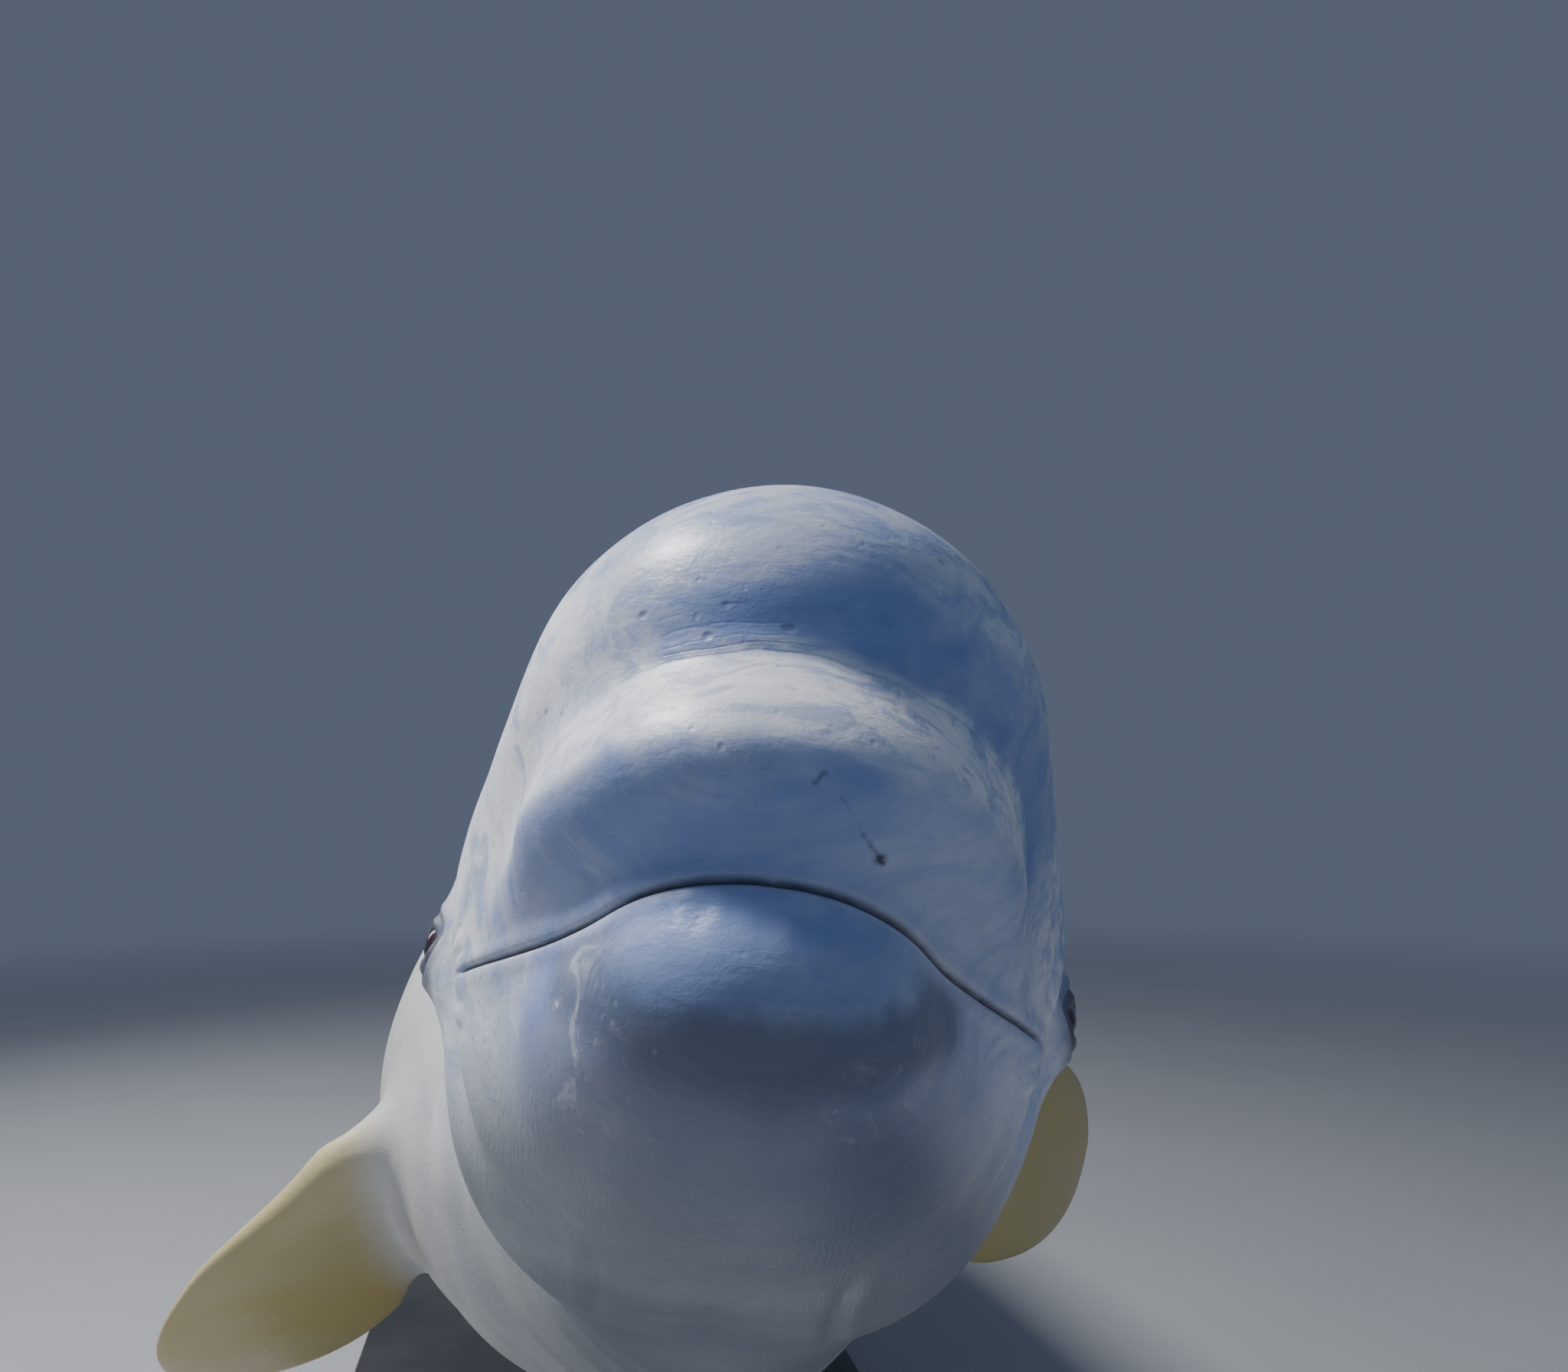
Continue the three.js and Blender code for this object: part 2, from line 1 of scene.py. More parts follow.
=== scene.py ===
# %% [markdown]
# # A life-size beluga whale, on a display stand
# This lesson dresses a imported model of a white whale. The model gives the places and
# the sizes. Here every solid of flesh is replaced by one continuous skin, the eyes and
# the stand get their finish, and the whale is lit and seen as in its photograph.
# All lengths in the whale's own numbers are millimetres. They become metres at the end.

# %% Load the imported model
import math

import bmesh
import bpy
import numpy as np
from mathutils import Matrix, Vector, bvhtree, kdtree


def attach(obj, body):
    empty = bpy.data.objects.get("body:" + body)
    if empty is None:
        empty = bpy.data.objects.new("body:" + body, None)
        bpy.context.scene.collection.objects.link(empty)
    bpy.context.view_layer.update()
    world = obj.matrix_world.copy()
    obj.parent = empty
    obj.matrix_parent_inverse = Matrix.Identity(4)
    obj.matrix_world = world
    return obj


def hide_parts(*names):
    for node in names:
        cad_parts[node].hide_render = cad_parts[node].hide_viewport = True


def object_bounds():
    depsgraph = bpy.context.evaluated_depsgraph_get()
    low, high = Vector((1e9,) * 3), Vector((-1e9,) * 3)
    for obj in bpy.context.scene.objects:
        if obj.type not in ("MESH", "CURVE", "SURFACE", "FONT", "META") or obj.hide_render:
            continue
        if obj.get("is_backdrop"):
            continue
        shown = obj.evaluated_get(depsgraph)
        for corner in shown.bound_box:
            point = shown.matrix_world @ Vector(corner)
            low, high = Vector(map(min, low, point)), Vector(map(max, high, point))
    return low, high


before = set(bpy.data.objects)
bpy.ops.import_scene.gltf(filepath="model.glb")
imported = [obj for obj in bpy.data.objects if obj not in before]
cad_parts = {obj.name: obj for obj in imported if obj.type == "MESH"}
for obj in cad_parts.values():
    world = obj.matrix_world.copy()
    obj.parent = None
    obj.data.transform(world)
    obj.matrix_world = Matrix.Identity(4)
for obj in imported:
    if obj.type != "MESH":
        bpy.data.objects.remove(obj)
cad_box = [list(corner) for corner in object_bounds()]
print(len(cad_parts), "solids, in the box", [[round(v, 3) for v in corner] for corner in cad_box])

# %% [markdown]
# ## Camera and room
# The photograph looks up at the snout from close in front of it, with a wide lens. The
# place and the turn were found by fitting the head's outline, the mouth line and the
# eyes. The camera is set first, so that each later piece can be looked at from there.

# %% Camera
MM = 0.001
PIVOT = np.array([-50.4, -550.8, 760.0])
CAMERA = {"from_pivot": (-170.3, -1756.8, 334.6), "turn": 14.47, "up": 9.64, "roll": 0.3,
          "lens": 21.457, "sensor": 36, "nearest": 0.02}


def as_object(data):
    """A mesh, a lamp or a camera as an object of the scene."""
    made = bpy.data.objects.new(data.name, data)
    bpy.context.scene.collection.objects.link(made)
    return made


def make_camera():
    turn, up = math.radians(CAMERA["turn"]), math.radians(CAMERA["up"])
    ahead = Vector((math.sin(turn) * math.cos(up), math.cos(turn) * math.cos(up), math.sin(up)))
    camera = as_object(bpy.data.cameras.new("camera"))
    camera.data.lens = CAMERA["lens"]
    camera.data.sensor_width = CAMERA["sensor"]
    camera.data.clip_start = CAMERA["nearest"]
    roll = Matrix.Rotation(math.radians(-CAMERA["roll"]), 4, "Z")
    camera.matrix_world = ahead.to_track_quat("-Z", "Y").to_matrix().to_4x4() @ roll
    camera.location = Vector(PIVOT + np.array(CAMERA["from_pivot"])) * MM
    bpy.context.scene.camera = camera
    return camera


camera = make_camera()
print("camera at", [round(v, 3) for v in camera.location])

# %% [markdown]
# ## Shader sums as plain expressions
# A material is a graph of nodes. Writing each Math node by hand is slow to read, so one
# small class wraps a socket and lets Python's own signs add the nodes. Every other node
# comes from one function, which takes the node's type, its settings and its sockets.


# %% Values and finishes
def add_node(tree, kind, settings=None, sockets=()):
    """A new node of a graph. Each socket is given a number, a colour or another socket."""
    made = tree.nodes.new(kind)
    for key, value in (settings or {}).items():
        setattr(made, key, value)
    for key, value in sockets.items() if isinstance(sockets, dict) else enumerate(sockets):
        if isinstance(value, bpy.types.NodeSocket):
            tree.links.new(value, made.inputs[key])
        else:
            made.inputs[key].default_value = value
    return made


class Value:
    """A socket of a finish that takes part in sums."""

    def __init__(self, finish, socket):
        self.finish, self.socket = finish, socket

    def sum(self, operation, *parts):
        return self.finish.node("ShaderNodeMath", {"operation": operation}, parts)

    def __add__(self, other): return self.sum("ADD", self, other)
    def __radd__(self, other): return self.sum("ADD", other, self)
    def __sub__(self, other): return self.sum("SUBTRACT", self, other)
    def __rsub__(self, other): return self.sum("SUBTRACT", other, self)
    def __mul__(self, other): return self.sum("MULTIPLY", self, other)
    def __rmul__(self, other): return self.sum("MULTIPLY", other, self)
    def __truediv__(self, other): return self.sum("DIVIDE", self, other)
    def __pow__(self, other): return self.sum("POWER", self, other)
    def __abs__(self): return self.sum("ABSOLUTE", self)


class Finish:
    """A material and the nodes that make it."""

    def __init__(self, name, **constants):
        self.material = bpy.data.materials.new(name)
        self.material.use_nodes = True
        self.tree = self.material.node_tree
        self.shader = self.tree.nodes["Principled BSDF"]
        for socket, value in constants.items():
            self.shader.inputs[socket.replace("_", " ")].default_value = value

    def node(self, kind, settings=None, sockets=(), out=0):
        pairs = sockets.items() if isinstance(sockets, dict) else enumerate(sockets)
        given = {key: value.socket if isinstance(value, Value) else value for key, value in pairs}
        return Value(self, add_node(self.tree, kind, settings, given).outputs[out])

    def vector(self, operation, *parts, out="Vector"):
        return self.node("ShaderNodeVectorMath", {"operation": operation}, parts, out)

    def attribute(self, name, out="Vector"):
        return self.node("ShaderNodeAttribute", {"attribute_name": name}, out=out)

    def place(self):
        return self.node("ShaderNodeTexCoord", out="Object")

    def parts(self, vector):
        made = self.node("ShaderNodeSeparateXYZ", None, [vector])
        return [Value(self, socket) for socket in made.socket.node.outputs]

    def stretched(self, vector, *scale):
        return self.vector("MULTIPLY", vector, scale)

    def noise(self, vector, scale, detail=3.0, rough=0.5, twist=0.0):
        return self.node("ShaderNodeTexNoise", None, {
            "Vector": vector, "Scale": scale, "Detail": detail, "Roughness": rough, "Distortion": twist})

    def step(self, value, low, high):
        """0 below low, 1 above high, smooth between."""
        return self.node("ShaderNodeMapRange", {"interpolation_type": "SMOOTHSTEP"}, {
            "Value": value, "From Min": low, "From Max": high})

    def below(self, value, low, high):
        """1 below low, 0 above high, smooth between."""
        return 1 - self.step(value, low, high)

    def line(self, value, at, core, width):
        """A line where a value passes a number: 1 in its core, 0 at its width."""
        return self.below(abs(value - at), core, width)

    def mix(self, share, first, second):
        first, second = (v if isinstance(v, Value) else (*v, 1) for v in (first, second))
        return self.node("ShaderNodeMix", {"data_type": "RGBA"}, {0: share, 6: first, 7: second}, out=2)

    def near(self, vector, spot, reach):
        """1 at a spot, 0 at reach from it."""
        return self.below(self.vector("DISTANCE", vector, spot, out="Value"), 0.0, reach)

    def near_line(self, vector, start, end, reach):
        """1 along a straight mark, 0 at reach from it."""
        span = Vector(end) - Vector(start)
        rest = self.vector("SUBTRACT", vector, start)
        along = self.vector("DOT_PRODUCT", rest, tuple(span / span.length_squared), out="Value")
        along = self.node("ShaderNodeClamp", None, [along])
        foot = self.node("ShaderNodeVectorMath", {"operation": "SCALE"}, {0: tuple(span), 3: along})
        return self.near(rest, foot, reach)

    def set(self, **links):
        for socket, value in links.items():
            self.tree.links.new(value.socket, self.shader.inputs[socket.replace("_", " ")])

    def bump(self, height, distance, strength):
        """Height from 0 to 1 stands for that distance in metres."""
        normal = self.node("ShaderNodeBump", None, {
            "Strength": strength, "Distance": distance, "Height": height}, out="Normal")
        self.set(Normal=normal)


# %% [markdown]
# ## Floor and light
# A museum photographs its models on a plain pale floor. In the photograph the sun stands
# high on the left, so the key light does too, large and soft, and the throat lies in
# shade. A weak fill keeps it readable, and a rim light shows the white back against the
# room. Far from the model the floor fades into the room's own colour, so that no edge
# of it shows from any side.


# %% Floor and light
ROOM = {"Color": (0.47, 0.58, 0.84, 1), "Strength": 0.21}
FLOOR = {"radius": 60.0, "height": -0.002, "fades": (3.0, 13.0),
         "dark": (0.38, 0.39, 0.41), "light": (0.43, 0.44, 0.46)}


def floor_finish():
    f = Finish("pale_floor", Roughness=0.8)
    f.set(Base_Color=f.mix(f.noise(f.place(), 1.3, 4.0), FLOOR["dark"], FLOOR["light"]))
    away = f.vector("LENGTH", f.place(), out="Value")
    glow = f.node("ShaderNodeEmission", None, ROOM)
    faded = f.node("ShaderNodeMixShader", None, [
        f.step(away, *FLOOR["fades"]), Value(f, f.shader.outputs[0]), glow])
    f.tree.links.new(faded.socket, f.tree.nodes["Material Output"].inputs["Surface"])
    return f.material


def make_floor():
    mesh = bpy.data.meshes.new("floor")
    work = bmesh.new()
    bmesh.ops.create_circle(work, cap_ends=True, segments=96, radius=FLOOR["radius"])
    work.to_mesh(mesh)
    work.free()
    floor = as_object(mesh)
    floor.location.z = FLOOR["height"]
    mesh.materials.append(floor_finish())
    floor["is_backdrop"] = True


LIGHT_AIM = Vector((-0.2, -1.4, 1.0))
LIGHTS = {
    "key": {"place": (-2.4, -1.2, 4.3), "size": 0.9, "power": 265, "colour": (1.0, 0.985, 0.96)},
    "fill": {"place": (0.4, -5.0, 3.2), "size": 2.6, "power": 15, "colour": (0.55, 0.72, 1.0)},
    "rim": {"place": (-3.4, 2.6, 3.2), "size": 2.2, "power": 40, "colour": (0.92, 0.96, 1.0)},
}


def make_light(name, light):
    lamp = bpy.data.lights.new(name, "AREA")
    lamp.size = light["size"]
    lamp.energy = light["power"]
    lamp.color = light["colour"]
    holder = as_object(lamp)
    holder.location = light["place"]
    holder.rotation_euler = (LIGHT_AIM - holder.location).to_track_quat("-Z", "Y").to_euler()


make_floor()
for name, light in LIGHTS.items():
    make_light(name, light)
room = bpy.data.worlds.new("room")
room.use_nodes = True
for socket, value in ROOM.items():
    room.node_tree.nodes["Background"].inputs[socket].default_value = value
bpy.context.scene.world = room
print("room with", len(LIGHTS), "lights")

# %% [markdown]
# ## The whale as soft forms
# A beluga's head is a few rounded masses under one skin: the fatty melon, the skull
# behind it, the short beak, the lower jaw, the cheeks and the throat. Each is an
# ellipsoid, and a soft minimum of their distances lets them run into one another. The
# trunk behind is a smooth curve through a few stations. The head's numbers are the
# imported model's own, so the skin lies where the solids are.

# %% Numbers of the body
# Centre (x, s, z) and radii. x is the whale's left, s runs back from the snout, z is up.
MELON = {"at": (0, 184, 97), "radii": (145, 206, 118)}
CRANIUM = {"at": (0, 330, 69), "radii": (196, 200, 159)}
UPPER_LIP = {"at": (0, 135, 8), "radii": (118, 155, 90), "low": 52}
LOWER_JAW = {"at": (0, 177, -54), "radii": (96, 163, 74)}
CHEEK = {"at": (66, 334, -27), "radii": (92, 150, 109)}
THROAT = {"at": (0, 402, -20), "radii": (142, 280, 137)}
EYE_MOUND = {"at": (168, 287, 15), "radii": (22, 44, 34)}
SOFT = {"melon": 80, "cheek": 71, "lips": 22, "crease": 20, "neck": 90, "eye": 24}
# s, height of the back, height of the belly, half width.
STATIONS = np.array([
    (330, 120, -80, 100), (450, 205, -170, 132), (600, 240, -232, 188), (850, 298, -312, 308),
    (1150, 350, -374, 360), (1500, 382, -410, 394), (1900, 378, -400, 396), (2300, 335, -335, 338),
    (2700, 265, -238, 250), (3050, 198, -150, 165), (3350, 142, -86, 102), (3600, 100, -46, 62),
    (3800, 62, -18, 38), (3910, 36, -5, 23), (3990, 16, 5, 8)], float)
RIDGE = {"from": 1820, "to": 2620, "height": 15, "half_width": 34}


def smooth(value, low, high):
    t = np.clip((value - low) / (high - low), 0, 1)
    return t * t * (3 - 2 * t)


def soft_least(a, b, reach):
    h = np.maximum(reach - np.abs(a - b), 0) / reach
    return np.minimum(a, b) - h * h * reach * 0.25


def ellipsoid(p, form):
    away = p - np.array(form["at"], float)
    radii = np.broadcast_to(np.array(form["radii"], float), away.shape)
    if "low" in form:
        radii = radii.copy()
        radii[..., 2] = np.where(away[..., 2] < 0, form["low"], radii[..., 2])
    q = away / radii
    near = np.sqrt((q ** 2).sum(-1)) + 1e-9
    return near * (near - 1) / (np.sqrt(((q / radii) ** 2).sum(-1)) + 1e-12)


def station(s, column, stations=STATIONS):
    places, values = stations[:, 0], stations[:, column]
    slope = np.empty(len(places))
    slope[1:-1] = (values[2:] - values[:-2]) / (places[2:] - places[:-2])
    slope[0] = (values[1] - values[0]) / (places[1] - places[0])
    slope[-1] = (values[-1] - values[-2]) / (places[-1] - places[-2])
    s = np.clip(s, places[0], places[-1])
    i = np.clip(np.searchsorted(places, s) - 1, 0, len(places) - 2)
    span = places[i + 1] - places[i]
    t = (s - places[i]) / span
    start = (1 + 2 * t) * (1 - t) ** 2 * values[i] + t * (1 - t) ** 2 * span * slope[i]
    return start + t * t * (3 - 2 * t) * values[i + 1] + t * t * (t - 1) * span * slope[i + 1]


def trunk(p):
    x, s, z = p[..., 0], p[..., 1], p[..., 2]
    back, belly, half = (station(s, column) for column in (1, 2, 3))
    height = (back - belly) / 2
    rim = np.minimum(half, height) * (np.hypot(x / half, (z - (back + belly) / 2) / height) - 1)
    along = np.clip((s - RIDGE["from"]) / (RIDGE["to"] - RIDGE["from"]), 0, 1)
    rise = np.where(z > 0, np.sin(np.pi * along), 0) ** 0.7
    ridge = RIDGE["height"] * rise * np.exp(-((x / RIDGE["half_width"]) ** 2))
    ahead = np.maximum(STATIONS[0, 0] - s, 0)
    return np.where(ahead > 0, np.hypot(np.maximum(rim, 0), ahead), rim - ridge)


def lips_and_back(p):
    q = p.copy()
    q[..., 0] = np.abs(q[..., 0])
    lower = soft_least(ellipsoid(q, CHEEK), ellipsoid(q, THROAT), SOFT["cheek"])
    upper = soft_least(ellipsoid(q, MELON), ellipsoid(q, CRANIUM), SOFT["melon"])
    back = soft_least(upper, lower, SOFT["cheek"])
    back = soft_least(back, trunk(q), SOFT["neck"])
    back = soft_least(back, ellipsoid(q, EYE_MOUND), SOFT["eye"])
    lips = soft_least(ellipsoid(q, UPPER_LIP), ellipsoid(q, LOWER_JAW), SOFT["lips"])
    return soft_least(lips, lower, SOFT["cheek"]), back


def distance(p):
    """Distance to the whale without its fins, negative inside."""
    lips, back = lips_and_back(p)
    return soft_least(lips, back, SOFT["crease"])


def outward(p, reach=1.5):
    """Which way the skin faces at some points."""
    slope = np.stack([distance(p + d) - distance(p - d) for d in np.eye(3) * reach], -1)
    return slope / (np.linalg.norm(slope, axis=-1, keepdims=True) + 1e-9)


flesh = -distance(np.array([[0.0, EYE_MOUND["at"][1], EYE_MOUND["at"][2]]]))[0]
print(round(float(flesh)), "mm of flesh between the eyes and the middle")

# %% [markdown]
# ## Rings of skin
# The head opens in rings from the tip of the snout, and one line of the mesh runs along
# the lips on both sides, so the mouth stays crisp. A fan of triangles would pinch at the
# tip, so the first rings are a square grid bent to a disc. Behind the eyes the rings
# lie across the spine, and behind the head they carry half as many points.

# %% Mouth line
MOUTH_CORNER = 196
# s, height: the line falls beside the lower lip and then climbs to the corner.
MOUTH_LINE = np.array([(0, -32.2), (18, -32.4), (36, -34.5), (60, -37.3), (84, -35.8), (120, -31.1),
                       (160, -26.3), (200, -21.7)])


def mouth_height(s):
    return station(s, 1, MOUTH_LINE)


RAY = {"from": 620.0, "step": 20, "halvings": 13}


def cast_out(centre, direction):
    """From centres out along directions to the skin, found from outside in."""
    far = np.full(len(centre), RAY["from"])
    open_rays = np.arange(len(centre))
    while len(open_rays):
        nearer = far[open_rays] - RAY["step"]
        inside = distance(centre[open_rays] + direction[open_rays] * nearer[:, None]) < 0
        open_rays = open_rays[~inside & (nearer > RAY["step"])]
        far[open_rays] -= RAY["step"]
    near = far - RAY["step"]
    for _ in range(RAY["halvings"]):
        middle = (near + far) / 2
        inside = distance(centre + direction * middle[:, None]) < 0
        near, far = np.where(inside, middle, near), np.where(inside, far, middle)
    return centre + direction * far[:, None]


# %% Head grid and rings
HEAD_CENTRE = 260.0
AROUND = 320
EVEN_AROUND = 2 * np.pi * np.arange(AROUND) / AROUND
CAP_RINGS = AROUND // 8
CAP_ANGLE = 12.5
GATHER = {"share": 0.62, "end": 900}
CENTRE_END = 700


def gathered(even, s):
    """Angles with more of their points at the sides, where the mouth and the eyes are."""
    gather = GATHER["share"] * (1 - smooth(s, HEAD_CENTRE, GATHER["end"]))
    return even - gather * np.sin(2 * even) / 2


def head_points(angle, even):
    """Skin points from an angle off the snout tip and an even angle round it."""
    around = gathered(even, 0.0)
    centre = np.zeros((len(angle), 3))
    centre[:, 1] = HEAD_CENTRE
    centre[:, 2] = np.interp(angle, RING_ANGLES, RING_HEIGHTS)
    sideways, upright = np.sin(angle) * np.cos(around), np.sin(angle) * np.sin(around)
    return cast_out(centre, np.stack([sideways, -np.cos(angle), upright], -1))


def ring_centres(angles):
    """The rings' centres follow the mouth, so that its line stays one line of the mesh."""
    heights = np.full(len(angles), MOUTH_LINE[0, 1])
    side = np.stack([np.sin(angles), -np.cos(angles), np.zeros(len(angles))], -1)
    for _ in range(5):
        centre = np.stack([np.zeros(len(angles)), np.full(len(angles), HEAD_CENTRE), heights], -1)
        heights = mouth_height(cast_out(centre, side)[:, 1])
    return heights


RING_ANGLES = np.radians(np.linspace(0, 90, 361))
RING_HEIGHTS = ring_centres(RING_ANGLES)


def plane_points(s, around_count):
    """Rings across the spine at each s."""
    even = 2 * np.pi * np.arange(around_count) / around_count
    rings = []
    for place in s:
        middle = (station(place, 1) + station(place, 2)) / 2
        share = smooth(place, HEAD_CENTRE, CENTRE_END)
        height = mouth_height(MOUTH_CORNER) * (1 - share) + middle * share
        around = gathered(even, place)
        direction = np.stack([np.cos(around), np.zeros(around_count), np.sin(around)], -1)
        centre = np.tile([0.0, place, float(height)], (around_count, 1))
        rings.append(cast_out(centre, direction))
    return rings


def cap_grid():
    """The square grid over the snout tip, and which of its points make its rim."""
    c = CAP_RINGS
    j, i = np.meshgrid(np.arange(-c, c + 1), np.arange(-c, c + 1))
    a, b = i.ravel() / c, j.ravel() / c
    ring = np.maximum(abs(a), abs(b))
    with np.errstate(divide="ignore", invalid="ignore"):
        sideways = np.pi / 4 * b / a + np.where(a < 0, np.pi, 0)
        upright = np.pi / 2 - np.pi / 4 * a / b + np.where(b < 0, np.pi, 0)
    even = np.where(abs(a) >= abs(b), sideways, upright)
    points = head_points(ring * math.radians(CAP_ANGLE), np.nan_to_num(even))
    side = 2 * c + 1
    at = np.arange(side * side).reshape(side, side)
    faces = np.stack([at[:-1, :-1], at[1:, :-1], at[1:, 1:], at[:-1, 1:]], -1).reshape(-1, 4)
    sector = ((EVEN_AROUND + np.pi / 4) // (np.pi / 2)).astype(int) % 4
    lean = (EVEN_AROUND - sector * np.pi / 2 + np.pi / 4) % (2 * np.pi) - np.pi / 4
    step = np.round(lean * 4 / np.pi * c).astype(int)
    rim_i = np.choose(sector, [c, -step, -c, step])
    rim_j = np.choose(sector, [step, c, -step, -c])
    return points, faces, at[rim_i + c, rim_j + c]


cap_points, cap_faces, cap_rim = cap_grid()
outer_angles = np.radians(np.concatenate([
    np.linspace(CAP_ANGLE, 27, 43)[1:], 27 + 63 * np.linspace(0, 1, 51)[1:] ** 1.08]))
rings = [head_points(np.full(AROUND, angle), EVEN_AROUND) for angle in outer_angles]
rings += plane_points(np.concatenate([
    np.linspace(HEAD_CENTRE, 320, 27)[1:], np.linspace(320, 430, 23)[1:]]), AROUND)
print(len(rings), "rings behind a cap of", len(cap_faces), "faces")

# %% Body rings
SEAM = 640
neck_rings = plane_points(np.linspace(430, SEAM, 25)[1:], AROUND // 2)
trunk_rings = plane_points(np.concatenate([
    np.linspace(SEAM, 900, 27), np.linspace(900, 3600, 109)[1:], np.linspace(3600, 3985, 22)[1:]]),
    AROUND // 2)
print(len(neck_rings), "rings of neck and", len(trunk_rings), "of trunk and tail")


# %% Join rings to a mesh
def strip(first, second):
    """Quads between two rings, given their points' numbers."""
    return np.stack([first, second, np.roll(second, -1), np.roll(first, -1)], -1)


def halved(first, second):
    """Triangles from a ring to one with half as many points."""
    a, b, c = first[::2], first[1::2], np.roll(first[::2], -1)
    d, e = second, np.roll(second, -1)
    return np.concatenate([np.stack(t, -1) for t in ((a, d, b), (b, d, e), (b, e, c))])


def tube_faces(count, around):
    """Quads along a number of rings, each with the same number of points."""
    numbers = np.arange(count * around).reshape(count, around)
    return np.concatenate([strip(*pair) for pair in zip(numbers[:-1], numbers[1:])]).tolist()


def mesh_of(name, points, faces):
    mesh = bpy.data.meshes.new(name)
    mesh.from_pydata(points.tolist(), [], faces)
    mesh.validate()
    return mesh


def head_mesh():
    points, faces, last = [cap_points], cap_faces.tolist(), cap_rim
    count = len(cap_points)
    for ring in [*rings, *neck_rings]:
        now = count + np.arange(len(ring))
        join = strip if len(ring) == len(last) else halved
        faces += join(last, now).tolist()
        points.append(ring)
        count += len(ring)
        last = now
    return mesh_of("head_skin", np.concatenate(points), faces)


def tube_mesh(name, rings):
    """A closed mesh of rings, with one face over each end."""
    around, points = len(rings[0]), np.concatenate(rings)
    ends = [list(range(around)), [len(points) - 1 - k for k in range(around)]]
    return mesh_of(name, points, tube_faces(len(rings), around) + ends)


head = head_mesh()
trunk_skin = tube_mesh("trunk_skin", trunk_rings)
print(len(head.polygons), "faces of head and neck,", len(trunk_skin.polygons), "of trunk")

# %% [markdown]
# ## Fins
# A beluga's flipper is a short rounded paddle, curled up at the tip in adults. The
# flukes are broad, with a curved rear edge and a notch. Both are blades: sections along
# a span, blunt in front and thin behind. They are joined to the trunk as solids, and the
# seam is then smoothed until the skin flows from one into the other.

# %% Flippers
PADDLE = {"length": 430, "chord": 275, "thick": 62, "tip_thick": 14, "curl": 34, "sunk": 0.3}
FLIPPERS = {
    "left": {"side": 1, "s": 920, "z": -112, "sweep": 25, "droop": -2, "twist": 77},
    "right": {"side": -1, "s": 920, "z": -108, "sweep": 51, "droop": 45, "twist": 50},
}
FLIPPER_ROOT = 300
SECTION = 40


def blade(steps, edges, place):
    """Sections of a fin as rings of points."""
    angle = 2 * np.pi * np.arange(SECTION) / SECTION
    rings = []
    for t in steps:
        lead, trail, thick = edges(t)
        along = (lead + trail) / 2 - np.cos(angle) * (trail - lead) / 2
        bulk = np.sin(angle) * thick / 2 * (1 + 0.35 * np.cos(angle))
        rings.append(place(t, along[:, None], bulk[:, None]))
    return rings


def paddle_edges(t):
    body = max(t, 0)
    wide = PADDLE["chord"] * (0.72 + 0.28 * float(smooth(body, 0, 0.45)) + 1.2 * min(t, 0))
    round_tip = math.sqrt(max(1 - (max(body - 0.5, 0) / 0.5) ** 2.2, 0.0004))
    shift = 0.1 * PADDLE["chord"] * body * body
    thick = PADDLE["thick"] + (PADDLE["tip_thick"] - PADDLE["thick"]) * body ** 0.8
    return shift - wide * round_tip / 2, shift + wide * round_tip / 2, thick * round_tip ** 0.4


def flipper(side, s, z, sweep, droop, twist):
    sweep, droop, twist = (math.radians(v) for v in (sweep, droop, twist))
    span = np.array([side * math.cos(sweep) * math.cos(droop), math.sin(sweep) * math.cos(droop),
                     -math.sin(droop)])
    back = np.array([0, 1.0, 0]) - span * span[1]
    back /= np.linalg.norm(back)
    up = np.cross(span, back) * side
    chord = back * math.cos(twist) - up * math.sin(twist)
    normal = np.cross(span, chord) * side
    root = np.array([side * FLIPPER_ROOT, s, z])
    steps = np.concatenate([
        np.linspace(-PADDLE["sunk"], 0.5, 26), 1 - 0.5 * np.linspace(1, 0, 19)[1:] ** 1.7])

    def place(t, along, bulk):
        lift = bulk + PADDLE["curl"] * max(t, 0) ** 3
        return root + span * PADDLE["length"] * t + chord * along + normal * lift

    return blade(steps, paddle_edges, place)


flippers = {name: tube_mesh("flipper_" + name, flipper(**hold)) for name, hold in FLIPPERS.items()}
print("flippers", [len(mesh.polygons) for mesh in flippers.values()], "faces")

# %% Flukes
FLUKE = {"span": 510, "front": 3600, "notch": 4000, "tip": 4010, "bulge": 62, "thick": 50, "tip_thick": 8,
         "droop": 22, "z": 10}


def fluke_edges(t):
    t = abs(t)
    lead = FLUKE["front"] + (FLUKE["tip"] - FLUKE["front"]) * (0.62 * t + 0.38 * t ** 2.4)
    trail = FLUKE["notch"] + (FLUKE["tip"] - FLUKE["notch"]) * t
    trail += FLUKE["bulge"] * math.sin(math.pi * t ** 0.72)
    thick = FLUKE["thick"] + (FLUKE["tip_thick"] - FLUKE["thick"]) * t ** 0.7
    return min(lead, trail - 6), trail, thick


def fluke_place(t, along, bulk):
    out = np.full_like(along, FLUKE["span"] * t)
    return np.concatenate([out, along, FLUKE["z"] + bulk - FLUKE["droop"] * t * t], -1)


half_steps = 1 - np.linspace(1, 0, 26) ** 1.4
fluke_steps = np.concatenate([-half_steps[:0:-1], half_steps])
flukes = tube_mesh("flukes", blade(fluke_steps, fluke_edges, fluke_place))
print("flukes", len(flukes.polygons), "faces")

# %% Join the fins to the trunk
def facing_out(mesh):
    work = bmesh.new()
    work.from_mesh(mesh)
    bmesh.ops.recalc_face_normals(work, faces=work.faces)
    work.to_mesh(mesh)
    work.free()


